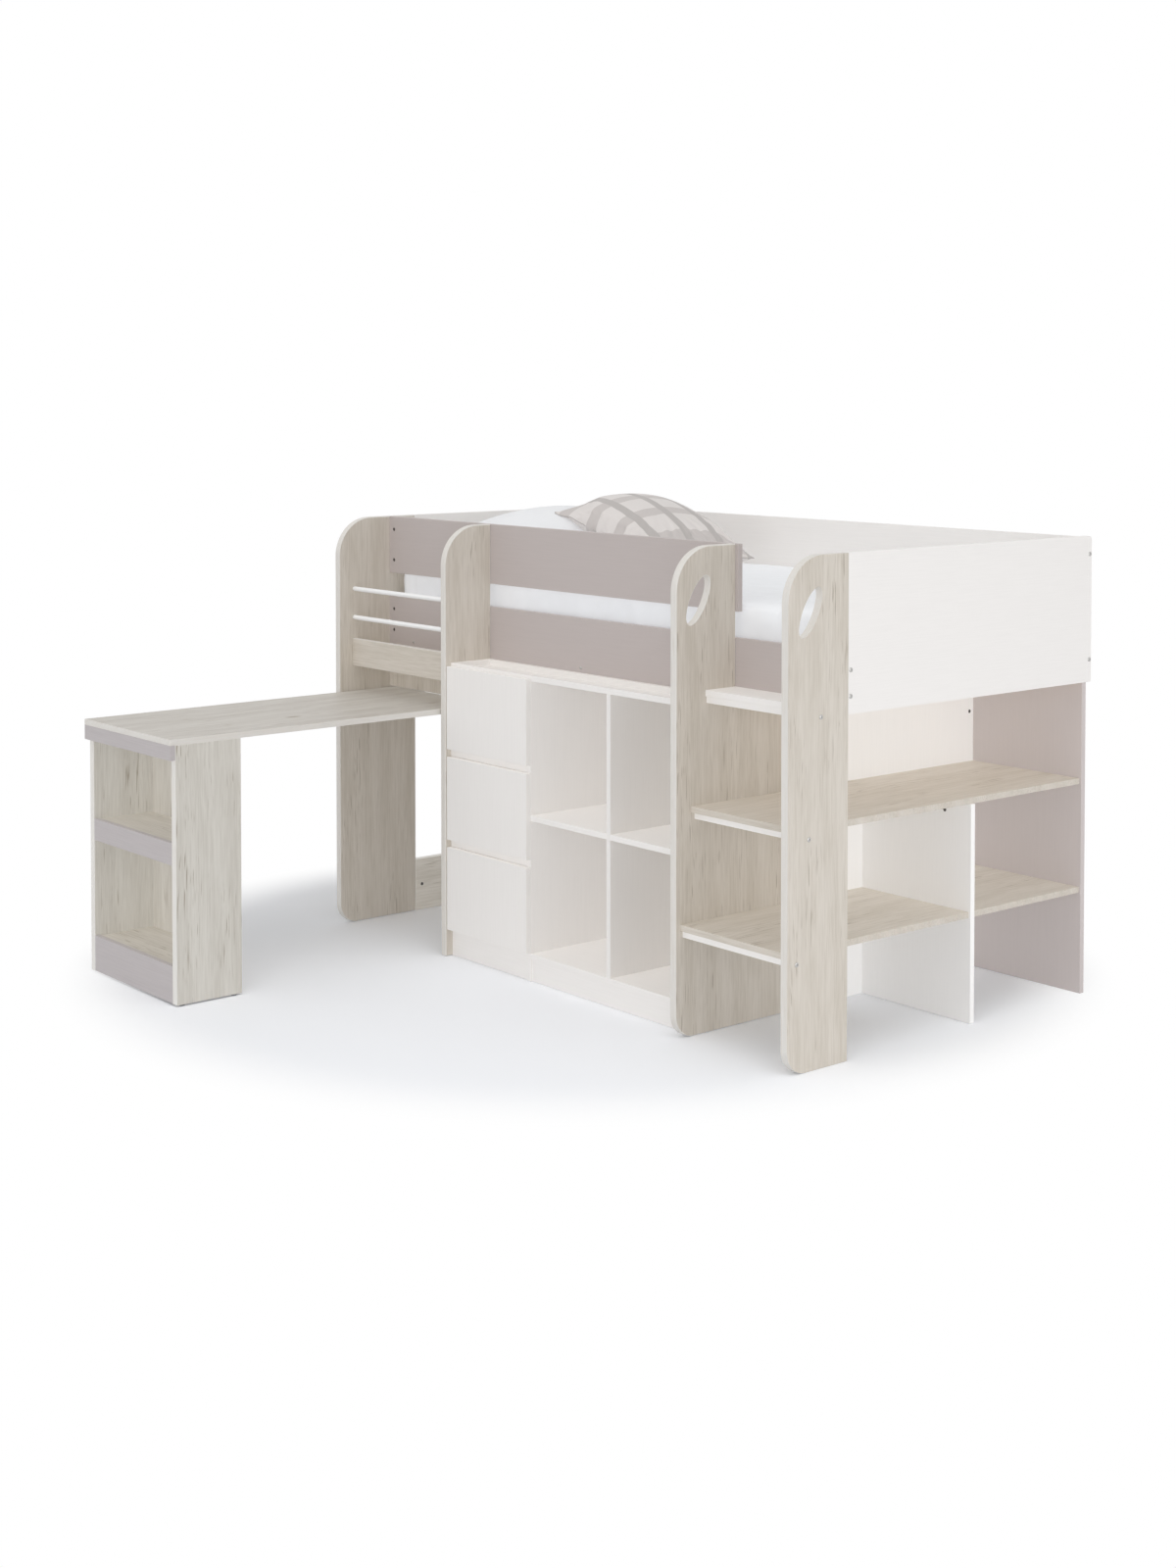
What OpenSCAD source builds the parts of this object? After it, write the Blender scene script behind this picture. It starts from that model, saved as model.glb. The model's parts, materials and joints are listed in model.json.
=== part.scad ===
// Mid sleeper bed with a pull-out desk, drawers, cubbies, a book rack and an end bookcase.
// X runs along the bed towards the ladder, Y runs from the front to the wall, Z is up.
// Every piece is laid out from the front left corner of the bed, and then moved so that
// the origin is in the middle of the floor area that the bed and the drawn-out desk cover.

/* [Bed] */
// Outer length of the bed
bed_length = 1960; // [1800:5:2200]
// Depth from the front of the ladder uprights to the back of the bed
bed_depth = 1140; // [1000:5:1400]
// Height of the uprights and of the boards round the mattress
bed_height = 1236; // [1150:1:1400]
// Thickness of the ordinary boards
board = 16; // [12:1:20]
// Thickness of the uprights and of the desk pedestal's gables
upright = 22; // [18:1:30]
// Clear height from the floor to the side rail and the end boards
under_bed = 845; // [800:1:900]

/* [Uprights] */
// Distance from the front of the ladder uprights to the guard boards
ladder_reach = 204; // [160:1:230]
// How far the left upright stands back from the ladder uprights
left_set_back = 20; // [0:1:60]
// How far the storage upright stands back from the ladder uprights
storage_set_back = 40; // [10:1:70]
// Depth of the left upright
left_upright_depth = 280; // [240:5:400]
// Radius of the top front corner of each upright
top_radius = 115; // [60:1:150]
// Radius of the bottom front corner of each upright
foot_radius = 60; // [20:1:90]
// Long half axis of the slanted hand holes
hand_hole_long = 67; // [50:1:80]
// Short half axis of the slanted hand holes
hand_hole_short = 26; // [20:1:35]
// Lean of the hand holes from upright, in degrees
hand_hole_lean = 28.6; // [0:0.1:45]

/* [Guard boards and deck] */
// Height of the taupe side rail
side_rail_h = 151; // [100:1:200]
// Gap between the side rail and the guard board
guard_gap = 67; // [40:1:90]
// How far the guard board runs past the inner ladder upright
guard_overrun = 8; // [0:1:30]
// Number of slats
slat_count = 13; // [8:1:20]
// Width of a slat
slat_w = 70; // [50:1:90]
// Thickness of a slat
slat_t = 18; // [12:1:24]
// Height of the slat battens
batten_h = 26; // [20:1:40]
// Thickness of the slat battens
batten_t = 20; // [16:1:30]

/* [Bedding] */
// Gap between the mattress and the boards at its head and its foot
mattress_end_gap = 11; // [4:0.5:40]
// Gap between the mattress and the boards at its long sides
mattress_side_gap = 2; // [1:0.5:20]
// Thickness of the mattress
mattress_h = 205; // [150:1:220]
// Width of the white bed pillow across the bed's length
pillow_w = 420; // [300:5:440]
// Length of the white bed pillow
pillow_length = 700; // [500:5:720]
// Height of the pillow's crown above its seam
pillow_crown = 134; // [80:1:150]
// Side of the patterned cushion
cushion_side = 446; // [350:1:480]
// Height of the cushion's crown above its seam
cushion_crown = 100; // [60:1:130]

/* [Ladder and bookcase] */
// Height of the low tread's top
low_tread_h = 289; // [250:1:330]
// Height of the middle tread's top
mid_tread_h = 583; // [520:1:640]
// Height of the top step
top_step_h = 872; // [862:1:900]
// How far the low tread stands back from the uprights' front
low_tread_set_back = 15; // [0:1:40]
// How far the middle tread stands back
mid_tread_set_back = 51; // [30:1:80]
// How far the top step stands back
top_step_set_back = 99; // [80:1:130]
// Height of the white rail under each tread
tread_rail_h = 17; // [12:1:30]
// Depth at which the bookcase divider stands
divider_y = 675; // [500:5:900]

/* [Storage unit] */
// Clear width between the two uprights that hold the storage unit
storage_w = 1008; // [900:1:1040]
// Clear width of the desk bay
desk_bay_w = 492; // [440:1:560]
// Depth at which the storage unit ends
storage_back = 440; // [380:5:520]
// Depth of the storage unit's front edges behind the ladder uprights' front
storage_front = 60; // [56:1:80]
// Width of the drawer column
drawer_column_w = 353; // [300:1:420]
// Clear width of the left column of cubbies
left_cubby_w = 321; // [260:1:380]
// Top of the storage unit's floor board
storage_floor_h = 78; // [60:1:80]
// Height of a drawer front
drawer_front_h = 238; // [230:1:241]
// Height of the finger gap between drawer fronts
finger_gap = 22; // [14:1:24]
// Thickness of the sides and back of a drawer box
drawer_wall = 12; // [9:1:15]
// Thickness of drawer bottoms and thin back panels
thin_panel = 4; // [3:1:6]
// Height of a drawer box
drawer_box_h = 150; // [100:1:180]
// Width taken by a runner on each side of a drawer
runner_w = 13; // [12:0.5:15]
// Height of a drawer runner
runner_h = 35; // [25:1:45]
// Length of a drawer runner
runner_length = 300; // [250:5:330]
// Top of the left and right cubby shelves
cubby_shelf_h = 460; // [400:1:520]

/* [Desk] */
// How far the drawn-out desk reaches in front of the ladder uprights
desk_reach = 830; // [700:5:900]
// Length of the desk top
desk_length = 1050; // [1000:5:1080]
// Width of the desk top
desk_w = 480; // [420:1:484]
// Height of the desk top's surface
desk_h = 710; // [680:1:720]
// Depth of the desk's pedestal
pedestal_depth = 198; // [160:1:260]
// Height of the band under the desk top
top_band_h = 40; // [30:1:60]
// Height of the middle band
mid_band_h = 60; // [40:1:80]
// Height of the middle band's top edge
mid_band_top = 432; // [380:1:480]
// Height of the bottom band's top edge
bottom_band_top = 104; // [80:1:130]
// Height of the glides under the pedestal
glide_h = 4; // [3:1:8]
// Radius of a glide
glide_r = 8; // [5:1:10]
// How far the rear glides stand in front of the desk top's back edge
rear_glide_inset = 20; // [12:1:60]

/* [Book rack] */
// Radius of the two rods
rod_r = 7; // [5:0.5:10]
// Depth of the rods behind the ladder uprights' front
rod_y = 75; // [70:1:110]
// Height of the lower rod
lower_rod_h = 933; // [900:1:960]
// Distance between the two rods
rod_pitch = 87; // [60:1:110]
// Bottom of the rack's front rail
rack_bottom = 787; // [760:1:800]
// Height of the rack's front rail
rack_rail_h = 82; // [60:1:100]

/* [Hidden] */
$fn = 48;
corner_fn = 96;

oak = [0.77, 0.74, 0.70];
taupe = [0.73, 0.70, 0.69];
melamine = [0.93, 0.92, 0.91];
band_grey = [0.71, 0.69, 0.69];
metal = [0.70, 0.70, 0.71];
linen = [0.93, 0.94, 0.96];

// Overrun of cuts, running clearance of moving parts, joint line between two boards that
// meet end on, and clearance of soft pieces
cut = 1;
running = 0.6;
joint_line = 0.2;
soft_clear = 0.3;

// Faces along the length of the bed
left_in = upright;
bay_right = left_in + desk_bay_w;
store_left = bay_right + upright;
store_right = store_left + storage_w;
ladder_left = store_right + upright;
ladder_right = bed_length - upright;
end_in = bed_length - board;
drawer_right = store_left + drawer_column_w;
cubby_left = drawer_right + board;
cubby_mid = cubby_left + left_cubby_w;

// Faces across the depth of the bed
guard_front = ladder_reach;
guard_back = guard_front + board;
rear_in = bed_depth - board;
left_back = left_set_back + left_upright_depth;

// Levels
side_rail_top = under_bed + side_rail_h;
guard_bottom = side_rail_top + guard_gap;
slat_bottom = under_bed + batten_h;
deck = slat_bottom + slat_t;
mattress_top = deck + mattress_h;
mid_board_bottom = mid_tread_h - board;
low_board_bottom = low_tread_h - board;

// Hand hole centre below and behind the top front corner of an upright
hand_hole_back = 75;
hand_hole_drop = 136;

module placed() {
    translate([-bed_length / 2, -(bed_depth - desk_reach) / 2, 0]) children();
}

// A board between two opposite corners
module slab(from, to) {
    translate(from) cube(to - from);
}

// Turns an outline drawn in the Y-Z plane into a board of a given thickness from x
module side_board(x, t) {
    translate([x, 0, 0]) rotate([90, 0, 90]) linear_extrude(t) children();
}

// The waste outside a rounded corner; the two flags turn it round for a far or an upper corner
module corner_waste(corner, r, far, upper) {
    translate(corner) mirror([far ? 1 : 0, 0]) mirror([0, upper ? 1 : 0]) difference() {
        translate([-cut, -cut]) square(r + cut);
        translate([r, r]) circle(r, $fn = corner_fn);
    }
}

// Side view of an upright: narrow above the side rail's underside, deeper below it
module upright_outline(front, back, deep, foot_r) {
    difference() {
        union() {
            translate([front, 0]) square([back - front, bed_height]);
            translate([front, 0]) square([deep - front, under_bed]);
        }
        corner_waste([front, bed_height], top_radius, false, true);
        if (foot_r > 0) corner_waste([front, 0], foot_r, false, false);
    }
}

// A slanted oval from its own formula
function oval_point(a) = let(
        u = hand_hole_short * cos(a),
        v = hand_hole_long * sin(a)
    ) [
        hand_hole_back + u * cos(hand_hole_lean) + v * sin(hand_hole_lean),
        bed_height - hand_hole_drop - u * sin(hand_hole_lean) + v * cos(hand_hole_lean)
    ];
full_turn = 360;
oval_steps = 56;
module hand_hole() {
    polygon([for (i = [0 : oval_steps - 1]) oval_point(full_turn * i / oval_steps)]);
}

// Bolts: a low head on the outer face and a shank into the next board
bolt_head_r = 6;
bolt_head_h = 2;
bolt_r = 3;
bolt_length = 38;
bolt_bore_r = 3.2;
screw_head_r = 4;
screw_r = 2;
screw_bore_r = 2.2;
screw_length = 30;
module bolt(p, dir, head_r, r, length) {
    translate(p) rotate(dir) {
        cylinder(h = bolt_head_h, r = head_r);
        translate([0, 0, -length]) cylinder(h = length, r = r);
    }
}
module bore(p, dir, r, length) {
    translate(p) rotate(dir) translate([0, 0, -length - cut])
        cylinder(h = length + 2 * cut, r = r);
}
to_right = [0, 90, 0];
to_left = [0, -90, 0];
to_front = [90, 0, 0];

// Barrel nuts: round barrels that sit flush in pockets
barrel_r = 5;
barrel_pocket_r = 5.2;
barrel_depth = 12;
barrel_inset = 24;
module barrel(p, dir) {
    translate(p) rotate(dir) translate([0, 0, -barrel_depth]) cylinder(h = barrel_depth, r = barrel_r);
}
module barrel_pocket(p, dir) {
    translate(p) rotate(dir) translate([0, 0, -barrel_depth])
        cylinder(h = barrel_depth + cut, r = barrel_pocket_r);
}

// Places of the fasteners
guard_mid = (guard_bottom + bed_height) / 2;
guard_barrel_spread = 47;
rail_mid = (under_bed + side_rail_top) / 2;
rail_fix_spread = 32;
rail_barrel_places = [for (z = [guard_mid - guard_barrel_spread, guard_mid + guard_barrel_spread,
    rail_mid - rail_fix_spread, rail_mid + rail_fix_spread])
    [left_in + barrel_inset, guard_front, z]];
left_rail_h = 160;
left_rail_barrel = [left_in, left_back + barrel_inset, left_rail_h / 2];
divider_barrel_drop = 26;
divider_barrel_share = 0.777;
divider_barrel = [ladder_left + divider_barrel_share * (ladder_right - ladder_left), divider_y,
    mid_board_bottom - divider_barrel_drop];
rail_bolt_places = [for (z = [rail_mid - rail_fix_spread, rail_mid + rail_fix_spread])
    [bed_length, guard_front + board / 2, z]];
rear_bolt_top = 48;
rear_bolt_low = 60;
rear_bolt_levels = [under_bed + rear_bolt_low, bed_height - rear_bolt_top];
rear_bolt_y = bed_depth - board / 2;
back_panel_barrel_drop = 122;
back_panel_barrel_inset = 15;
back_panel_barrel = [ladder_left, rear_in - back_panel_barrel_inset, under_bed - back_panel_barrel_drop];
batten_screw_first = 127;
batten_screw_pitch = 797;
batten_screw_places = [for (i = [0 : 1])
    [left_in + batten_screw_first + i * batten_screw_pitch, guard_front, under_bed + batten_h / 2]];

// White rails under the treads: each stands a nosing back from its tread's front edge
low_nosing = 8;
mid_nosing = 12;
top_nosing = 4;
tread_tops = [low_tread_h, mid_tread_h, top_step_h];
tread_rail_fronts = [low_tread_set_back + low_nosing, mid_tread_set_back + mid_nosing,
    top_step_set_back + top_nosing];
function tread_rail_y(i) = tread_rail_fronts[i];
function tread_rail_z(i) = tread_tops[i] - board - tread_rail_h;

// Uprights

module left_upright() {
    color(oak) placed() side_board(0, upright)
        upright_outline(left_set_back, left_back, left_back, foot_radius);
}

module storage_upright() {
    color(oak) placed() side_board(bay_right, upright)
        upright_outline(storage_set_back, guard_front, storage_back, 0);
}

module inner_ladder_upright() {
    color(oak) placed() side_board(store_right, upright) difference() {
        upright_outline(0, guard_front, storage_back, foot_radius);
        hand_hole();
    }
}

module outer_ladder_upright() {
    color(oak) placed() difference() {
        side_board(ladder_right, upright) difference() {
            upright_outline(0, guard_front, guard_front, foot_radius);
            hand_hole();
        }
        for (i = [0 : 2])
            bore([bed_length, tread_rail_y(i) + board / 2, tread_rail_z(i) + tread_rail_h / 2],
                to_right, bolt_bore_r, upright);
    }
}

// Boards round the mattress

module front_guard_board() {
    color(taupe) placed() difference() {
        slab([left_in, guard_front, guard_bottom],
            [ladder_left + guard_overrun, guard_back, bed_height]);
        for (p = rail_barrel_places) barrel_pocket(p, to_front);
    }
}

module front_side_rail() {
    color(taupe) placed() difference() {
        slab([left_in, guard_front, under_bed], [end_in, guard_back, side_rail_top]);
        for (p = rail_barrel_places) barrel_pocket(p, to_front);
        for (p = rail_bolt_places) bore(p, to_right, bolt_bore_r, bolt_length);
        for (p = batten_screw_places) bore(p, to_front, screw_bore_r, board);
    }
}

// End board with its upper rear corner rounded
end_corner_r = 12;
module end_board(x, front) {
    side_board(x, board) difference() {
        translate([front, under_bed]) square([bed_depth - front, bed_height - under_bed]);
        corner_waste([bed_depth, bed_height], end_corner_r, true, true);
    }
}

module left_end_board() {
    color(melamine) placed() difference() {
        end_board(0, left_back);
        for (z = rear_bolt_levels) bore([0, rear_bolt_y, z], to_left, bolt_bore_r, board);
    }
}

module right_end_board() {
    color(melamine) placed() difference() {
        end_board(end_in, guard_front);
        for (p = rail_bolt_places) bore(p, to_right, bolt_bore_r, board);
        for (z = rear_bolt_levels) bore([bed_length, rear_bolt_y, z], to_right, bolt_bore_r, board);
    }
}

rear_board_drop = 3;
module rear_board() {
    color(melamine) placed() difference() {
        slab([board, rear_in, under_bed], [end_in, bed_depth, bed_height - rear_board_drop]);
        for (z = rear_bolt_levels) {
            bore([0, rear_bolt_y, z], to_left, bolt_bore_r, bolt_length);
            bore([bed_length, rear_bolt_y, z], to_right, bolt_bore_r, bolt_length);
        }
    }
}

// Legs and panels below the deck
rear_leg_depth = 180;
module left_bottom_rail() {
    color(oak) placed() difference() {
        slab([0, left_back, 0], [upright, bed_depth - rear_leg_depth, left_rail_h]);
        barrel_pocket(left_rail_barrel, to_right);
    }
}

module rear_left_leg() {
    color(oak) placed()
        slab([0, bed_depth - rear_leg_depth, 0], [upright, bed_depth, under_bed]);
}

module rear_right_panel() {
    color(taupe) placed()
        slab([ladder_left - board, rear_in, 0], [end_in, bed_depth, under_bed]);
}

// Deck

module slat_battens() {
    color(oak) placed() {
        difference() {
            slab([left_in, guard_back, under_bed], [end_in, guard_back + batten_t, slat_bottom]);
            for (p = batten_screw_places) bore(p, to_front, screw_bore_r, screw_length);
        }
        slab([upright, rear_in - batten_t, under_bed], [end_in, rear_in, slat_bottom]);
    }
}

slat_end_gap = 2;
slat_margin = 24;
slat_run = end_in - left_in - 2 * slat_margin - slat_w;
module bed_slats() {
    color("burlywood") placed() for (i = [0 : slat_count - 1])
        translate([left_in + slat_margin + i * slat_run / (slat_count - 1), 0, 0])
            slab([0, guard_back + slat_end_gap, slat_bottom],
                [slat_w, rear_in - slat_end_gap, deck]);
}

// Bedding

// Mattress: rings of a rounded rectangle, each with its inset and its height share
mattress_corner = 60;
mattress_length = end_in - left_in - 2 * mattress_end_gap;
mattress_width = rear_in - guard_back - 2 * mattress_side_gap;
mattress_left = left_in + mattress_end_gap;
mattress_x = (left_in + end_in) / 2;
mattress_y = (guard_back + rear_in) / 2;
mattress_roll = 26;
corner_steps = 6;
ring_inset_shares = [0.7, 0.22, 0, 0.1, 0, 0.2, 0.75, 2.2, 5];
ring_height_shares = [0, 0.06, 0.22, 0.52, 0.8, 0.9, 0.962, 0.988, 1];
function ring_inset(k) = mattress_roll * ring_inset_shares[k];
function ring_point(inset, q, j) = let(
        r = mattress_corner,
        hx = mattress_length / 2 - inset - r,
        hy = mattress_width / 2 - inset - r,
        a = 90 * (q + j / corner_steps),
        sx = (q == 0 || q == 3) ? 1 : -1,
        sy = q < 2 ? 1 : -1
    ) [mattress_x + sx * hx + r * cos(a), mattress_y + sy * hy + r * sin(a)];
module mattress() {
    per = 4 * (corner_steps + 1);
    rings = len(ring_inset_shares);
    pts = concat(
        [for (k = [0 : rings - 1]) for (q = [0 : 3]) for (j = [0 : corner_steps])
            let(p = ring_point(ring_inset(k), q, j))
            [p[0], p[1], deck + soft_clear
                + (mattress_h - soft_clear) * ring_height_shares[k]]],
        [[mattress_x, mattress_y, deck + soft_clear], [mattress_x, mattress_y, mattress_top]]);
    bottom = rings * per;
    sides = [for (k = [0 : rings - 2]) for (j = [0 : per - 1])
        let(a = k * per + j, b = k * per + (j + 1) % per)
        each [[a, a + per, b], [b, a + per, b + per]]];
    caps = [for (j = [0 : per - 1]) let(b = (j + 1) % per, top = (rings - 1) * per)
        each [[j, b, bottom], [top + b, top + j, bottom + 1]]];
    color(linen) placed() polyhedron(points = pts, faces = concat(sides, caps));
}

// A filled bag: crown share over the unit square, and an outline drawn in between its corners
seam_t = 3;
drawn_in_share = 0.06;
bag_steps = 20;
fullness_power = 0.5;
function bag_crown(s, t) = pow(max(0, (1 - s * s) * (1 - t * t)), fullness_power);
function bag_place(s, t, centre, half) = [
    centre[0] + half[0] * s * (1 - drawn_in_share * (1 - t * t)),
    centre[1] + half[1] * t * (1 - drawn_in_share * (1 - s * s))];
function unit(i) = sin(90 * (2 * i / bag_steps - 1));

// Pillow: lies flat on the mattress at its head, a little past its end and nearer the wall
pillow_overhang = 5;
pillow_shift = 28;
pillow_centre = [mattress_left + pillow_w / 2 - pillow_overhang, mattress_y + pillow_shift];
pillow_half = [pillow_w / 2, pillow_length / 2];
pillow_seam_h = 34;
pillow_seam = mattress_top + pillow_seam_h;
pillow_belly_share = 0.6;
function pillow_top(s, t) = pillow_seam + seam_t / 2 + pillow_crown * bag_crown(s, t);
function pillow_bottom(s, t) = max(mattress_top + soft_clear,
    pillow_seam - seam_t / 2 - pillow_belly_share * pillow_crown * bag_crown(s, t));

// Height of the pillow's upper face under a point, with a little spare for the facets
function pillow_under(x, y) = let(
        s = (x - pillow_centre[0]) / pillow_half[0],
        t = (y - pillow_centre[1]) / pillow_half[1]
    ) (abs(s) < 1 && abs(t) < 1) ? pillow_top(s, t) + seam_t : 0;

// Cushion: its left edge lies on the pillow and its right edge on the mattress
cushion_from_pillow = [307, 130];
cushion_centre = pillow_centre + cushion_from_pillow;
cushion_half = [cushion_side / 2, cushion_side / 2];
cushion_left_h = 166;
cushion_right_h = 13;
cushion_left = mattress_top + cushion_left_h;
cushion_right = mattress_top + cushion_right_h;
function cushion_mid(x) = let(
        share = (x - cushion_centre[0] + cushion_half[0]) / cushion_side
    ) cushion_left + (cushion_right - cushion_left) * min(1, max(0, share));
function cushion_bottom(s, t) = let(p = bag_place(s, t, cushion_centre, cushion_half))
    max(mattress_top + soft_clear, pillow_under(p[0], p[1]) + soft_clear,
        cushion_mid(p[0]) - seam_t / 2 - cushion_crown * bag_crown(s, t));
function cushion_top(s, t) = let(p = bag_place(s, t, cushion_centre, cushion_half))
    max(cushion_mid(p[0]) + seam_t / 2 + cushion_crown * bag_crown(s, t),
        cushion_bottom(s, t) + seam_t);

module bag(places, tops, bottoms) {
    n = bag_steps + 1;
    half_count = n * n;
    top_faces = [for (i = [0 : bag_steps - 1]) for (j = [0 : bag_steps - 1])
        let(a = i * n + j, b = a + 1, c = a + n, d = c + 1)
        each [[a, b, d], [a, d, c]]];
    under_faces = [for (f = top_faces)
        [f[0] + half_count, f[2] + half_count, f[1] + half_count]];
    rim = concat(
        [for (j = [0 : bag_steps - 1]) j],
        [for (i = [0 : bag_steps - 1]) i * n + bag_steps],
        [for (j = [0 : bag_steps - 1]) n * n - 1 - j],
        [for (i = [0 : bag_steps - 1]) (bag_steps - i) * n]);
    rim_faces = [for (k = [0 : len(rim) - 1])
        let(a = rim[k], b = rim[(k + 1) % len(rim)])
        each [[a, a + half_count, b + half_count], [a, b + half_count, b]]];
    pts = concat(
        [for (k = [0 : half_count - 1]) [places[k][0], places[k][1], tops[k]]],
        [for (k = [0 : half_count - 1]) [places[k][0], places[k][1], bottoms[k]]]);
    polyhedron(points = pts, faces = concat(top_faces, under_faces, rim_faces));
}

grid_units = [for (i = [0 : bag_steps]) for (j = [0 : bag_steps]) [unit(i), unit(j)]];

module bed_pillow() {
    color(linen) placed() bag(
        [for (g = grid_units) bag_place(g[0], g[1], pillow_centre, pillow_half)],
        [for (g = grid_units) pillow_top(g[0], g[1])],
        [for (g = grid_units) pillow_bottom(g[0], g[1])]);
}

module scatter_cushion() {
    color(taupe) placed() bag(
        [for (g = grid_units) bag_place(g[0], g[1], cushion_centre, cushion_half)],
        [for (g = grid_units) cushion_top(g[0], g[1])],
        [for (g = grid_units) cushion_bottom(g[0], g[1])]);
}

// Ladder and bookcase

module low_tread_shelf() {
    color(oak) placed()
        slab([ladder_left, low_tread_set_back, low_board_bottom],
            [ladder_right, divider_y, low_tread_h]);
}

module mid_tread_shelf() {
    color(oak) placed()
        slab([ladder_left, mid_tread_set_back, mid_board_bottom],
            [ladder_right, rear_in, mid_tread_h]);
}

module top_step() {
    color(melamine) placed()
        slab([ladder_left, top_step_set_back, top_step_h - board],
            [ladder_right, guard_front, top_step_h]);
}

module tread_rails() {
    color(melamine) placed() for (i = [0 : 2]) difference() {
        slab([ladder_left, tread_rail_y(i), tread_rail_z(i)],
            [ladder_right, tread_rail_y(i) + board, tread_rail_z(i) + tread_rail_h]);
        bore([bed_length, tread_rail_y(i) + board / 2, tread_rail_z(i) + tread_rail_h / 2],
            to_right, bolt_bore_r, bolt_length);
    }
}

module bookcase_back_panel() {
    color(melamine) placed() difference() {
        slab([ladder_left - board, storage_back, 0], [ladder_left, rear_in, under_bed]);
        barrel_pocket(back_panel_barrel, to_right);
    }
}

module bookcase_divider() {
    color(melamine) placed() difference() {
        slab([ladder_left, divider_y, 0], [end_in, divider_y + board, mid_board_bottom]);
        barrel_pocket(divider_barrel, to_front);
    }
}

module lower_rear_shelf() {
    color(oak) placed()
        slab([ladder_left, divider_y + board, low_board_bottom],
            [ladder_right, rear_in, low_tread_h]);
}

// Storage unit: the top panel lies on the gable and the divider, behind the front tray rail
storage_top = under_bed;
tray_floor = storage_top - board;
panel_bottom = tray_floor - thin_panel;
back_face = storage_back - thin_panel;

// A standing board whose front stretch reaches up to the tray rail
module standing_board(x, bottom) {
    side_board(x, board) union() {
        translate([storage_front, bottom])
            square([back_face - storage_front, panel_bottom - bottom]);
        translate([storage_front, bottom]) square([board, tray_floor - bottom]);
    }
}

module storage_gable() {
    color(melamine) placed() standing_board(drawer_right, 0);
}

module cubby_divider() {
    color(melamine) placed() standing_board(cubby_mid, storage_floor_h);
}

module storage_floor() {
    color(melamine) placed()
        slab([cubby_left, storage_front, storage_floor_h - board],
            [store_right, back_face, storage_floor_h]);
}

plinth_set_back = 4;
drawer_plinth_gap = 3;
module storage_plinths() {
    y = storage_front + plinth_set_back;
    color(melamine) placed() {
        slab([store_left, y, 0], [drawer_right, y + board, storage_floor_h - drawer_plinth_gap]);
        slab([cubby_left, y, 0], [store_right, y + board, storage_floor_h - board]);
    }
}

module cubby_shelves() {
    color(melamine) placed() {
        slab([cubby_left, storage_front, cubby_shelf_h - board],
            [cubby_mid, back_face, cubby_shelf_h]);
        slab([cubby_mid + board, storage_front, cubby_shelf_h - board],
            [store_right, back_face, cubby_shelf_h]);
    }
}

module storage_top_panel() {
    color(melamine) placed()
        slab([store_left, storage_front + board, panel_bottom],
            [store_right, back_face, tray_floor]);
}

module storage_tray_rails() {
    color(melamine) placed() {
        slab([store_left, storage_front, tray_floor],
            [store_right, storage_front + board, storage_top]);
        slab([store_left, guard_front - board, tray_floor],
            [store_right, guard_front, storage_top]);
        for (x = [store_left, store_right - board])
            slab([x, storage_front + board + joint_line, tray_floor],
                [x + board, guard_front - board - joint_line, storage_top]);
    }
}

module storage_back_panel() {
    color(melamine) placed()
        slab([store_left, back_face, storage_floor_h - board],
            [store_right, storage_back, tray_floor]);
}

// Drawers: number 0 is the lowest
drawer_pitch = drawer_front_h + finger_gap;
front_side_gap = 2;
box_lift = 24;
box_depth = 340;
runner_lift = 40;
function drawer_bottom_z(n) = storage_floor_h + n * drawer_pitch;
box_left = store_left + runner_w;
box_right = drawer_right - runner_w;
function runner_z(n) = drawer_bottom_z(n) + box_lift + runner_lift;

module drawer_rails() {
    color(melamine) placed() for (n = [0 : 1])
        slab([store_left, storage_front, drawer_bottom_z(n) + drawer_front_h],
            [drawer_right, storage_front + board, drawer_bottom_z(n + 1)]);
}

module drawer_runners() {
    color(metal) placed() for (n = [0 : 2]) {
        slab([store_left, storage_front + board, runner_z(n)],
            [store_left + (runner_w - running) / 2,
                storage_front + board + runner_length, runner_z(n) + runner_h]);
        slab([drawer_right - (runner_w - running) / 2, storage_front + board, runner_z(n)],
            [drawer_right, storage_front + board + runner_length, runner_z(n) + runner_h]);
    }
}

module drawer_front(n) {
    color(melamine) placed()
        slab([store_left + front_side_gap, storage_front - running - board, drawer_bottom_z(n)],
            [drawer_right + board, storage_front - running,
                drawer_bottom_z(n) + drawer_front_h]);
}

module drawer_box(n) {
    z = drawer_bottom_z(n) + box_lift;
    y = storage_front - running;
    color(melamine) placed() {
        for (x = [box_left, box_right - drawer_wall])
            slab([x, y, z], [x + drawer_wall, y + box_depth, z + drawer_box_h]);
        slab([box_left + drawer_wall + joint_line, y + box_depth - drawer_wall, z],
            [box_right - drawer_wall - joint_line, y + box_depth, z + drawer_box_h]);
    }
}

module drawer_bottom(n) {
    z = drawer_bottom_z(n) + box_lift;
    y = storage_front - running;
    color(melamine) placed()
        slab([box_left + drawer_wall, y, z],
            [box_right - drawer_wall, y + box_depth - drawer_wall, z + thin_panel]);
}

module drawer_slides(n) {
    y = storage_front + board;
    color(metal) placed() {
        slab([store_left + (runner_w + running) / 2, y, runner_z(n)],
            [box_left, y + runner_length, runner_z(n) + runner_h]);
        slab([box_right, y, runner_z(n)],
            [drawer_right - (runner_w + running) / 2, y + runner_length,
                runner_z(n) + runner_h]);
    }
}

// Desk, drawn out in front of its bay
desk_left = left_in + (desk_bay_w - desk_w) / 2;
desk_right = desk_left + desk_w;
desk_under = desk_h - board;
pedestal_front = board - desk_reach;
pedestal_back_y = pedestal_front + pedestal_depth;
band_lift = 1;
shelf_drop = 2;

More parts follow.
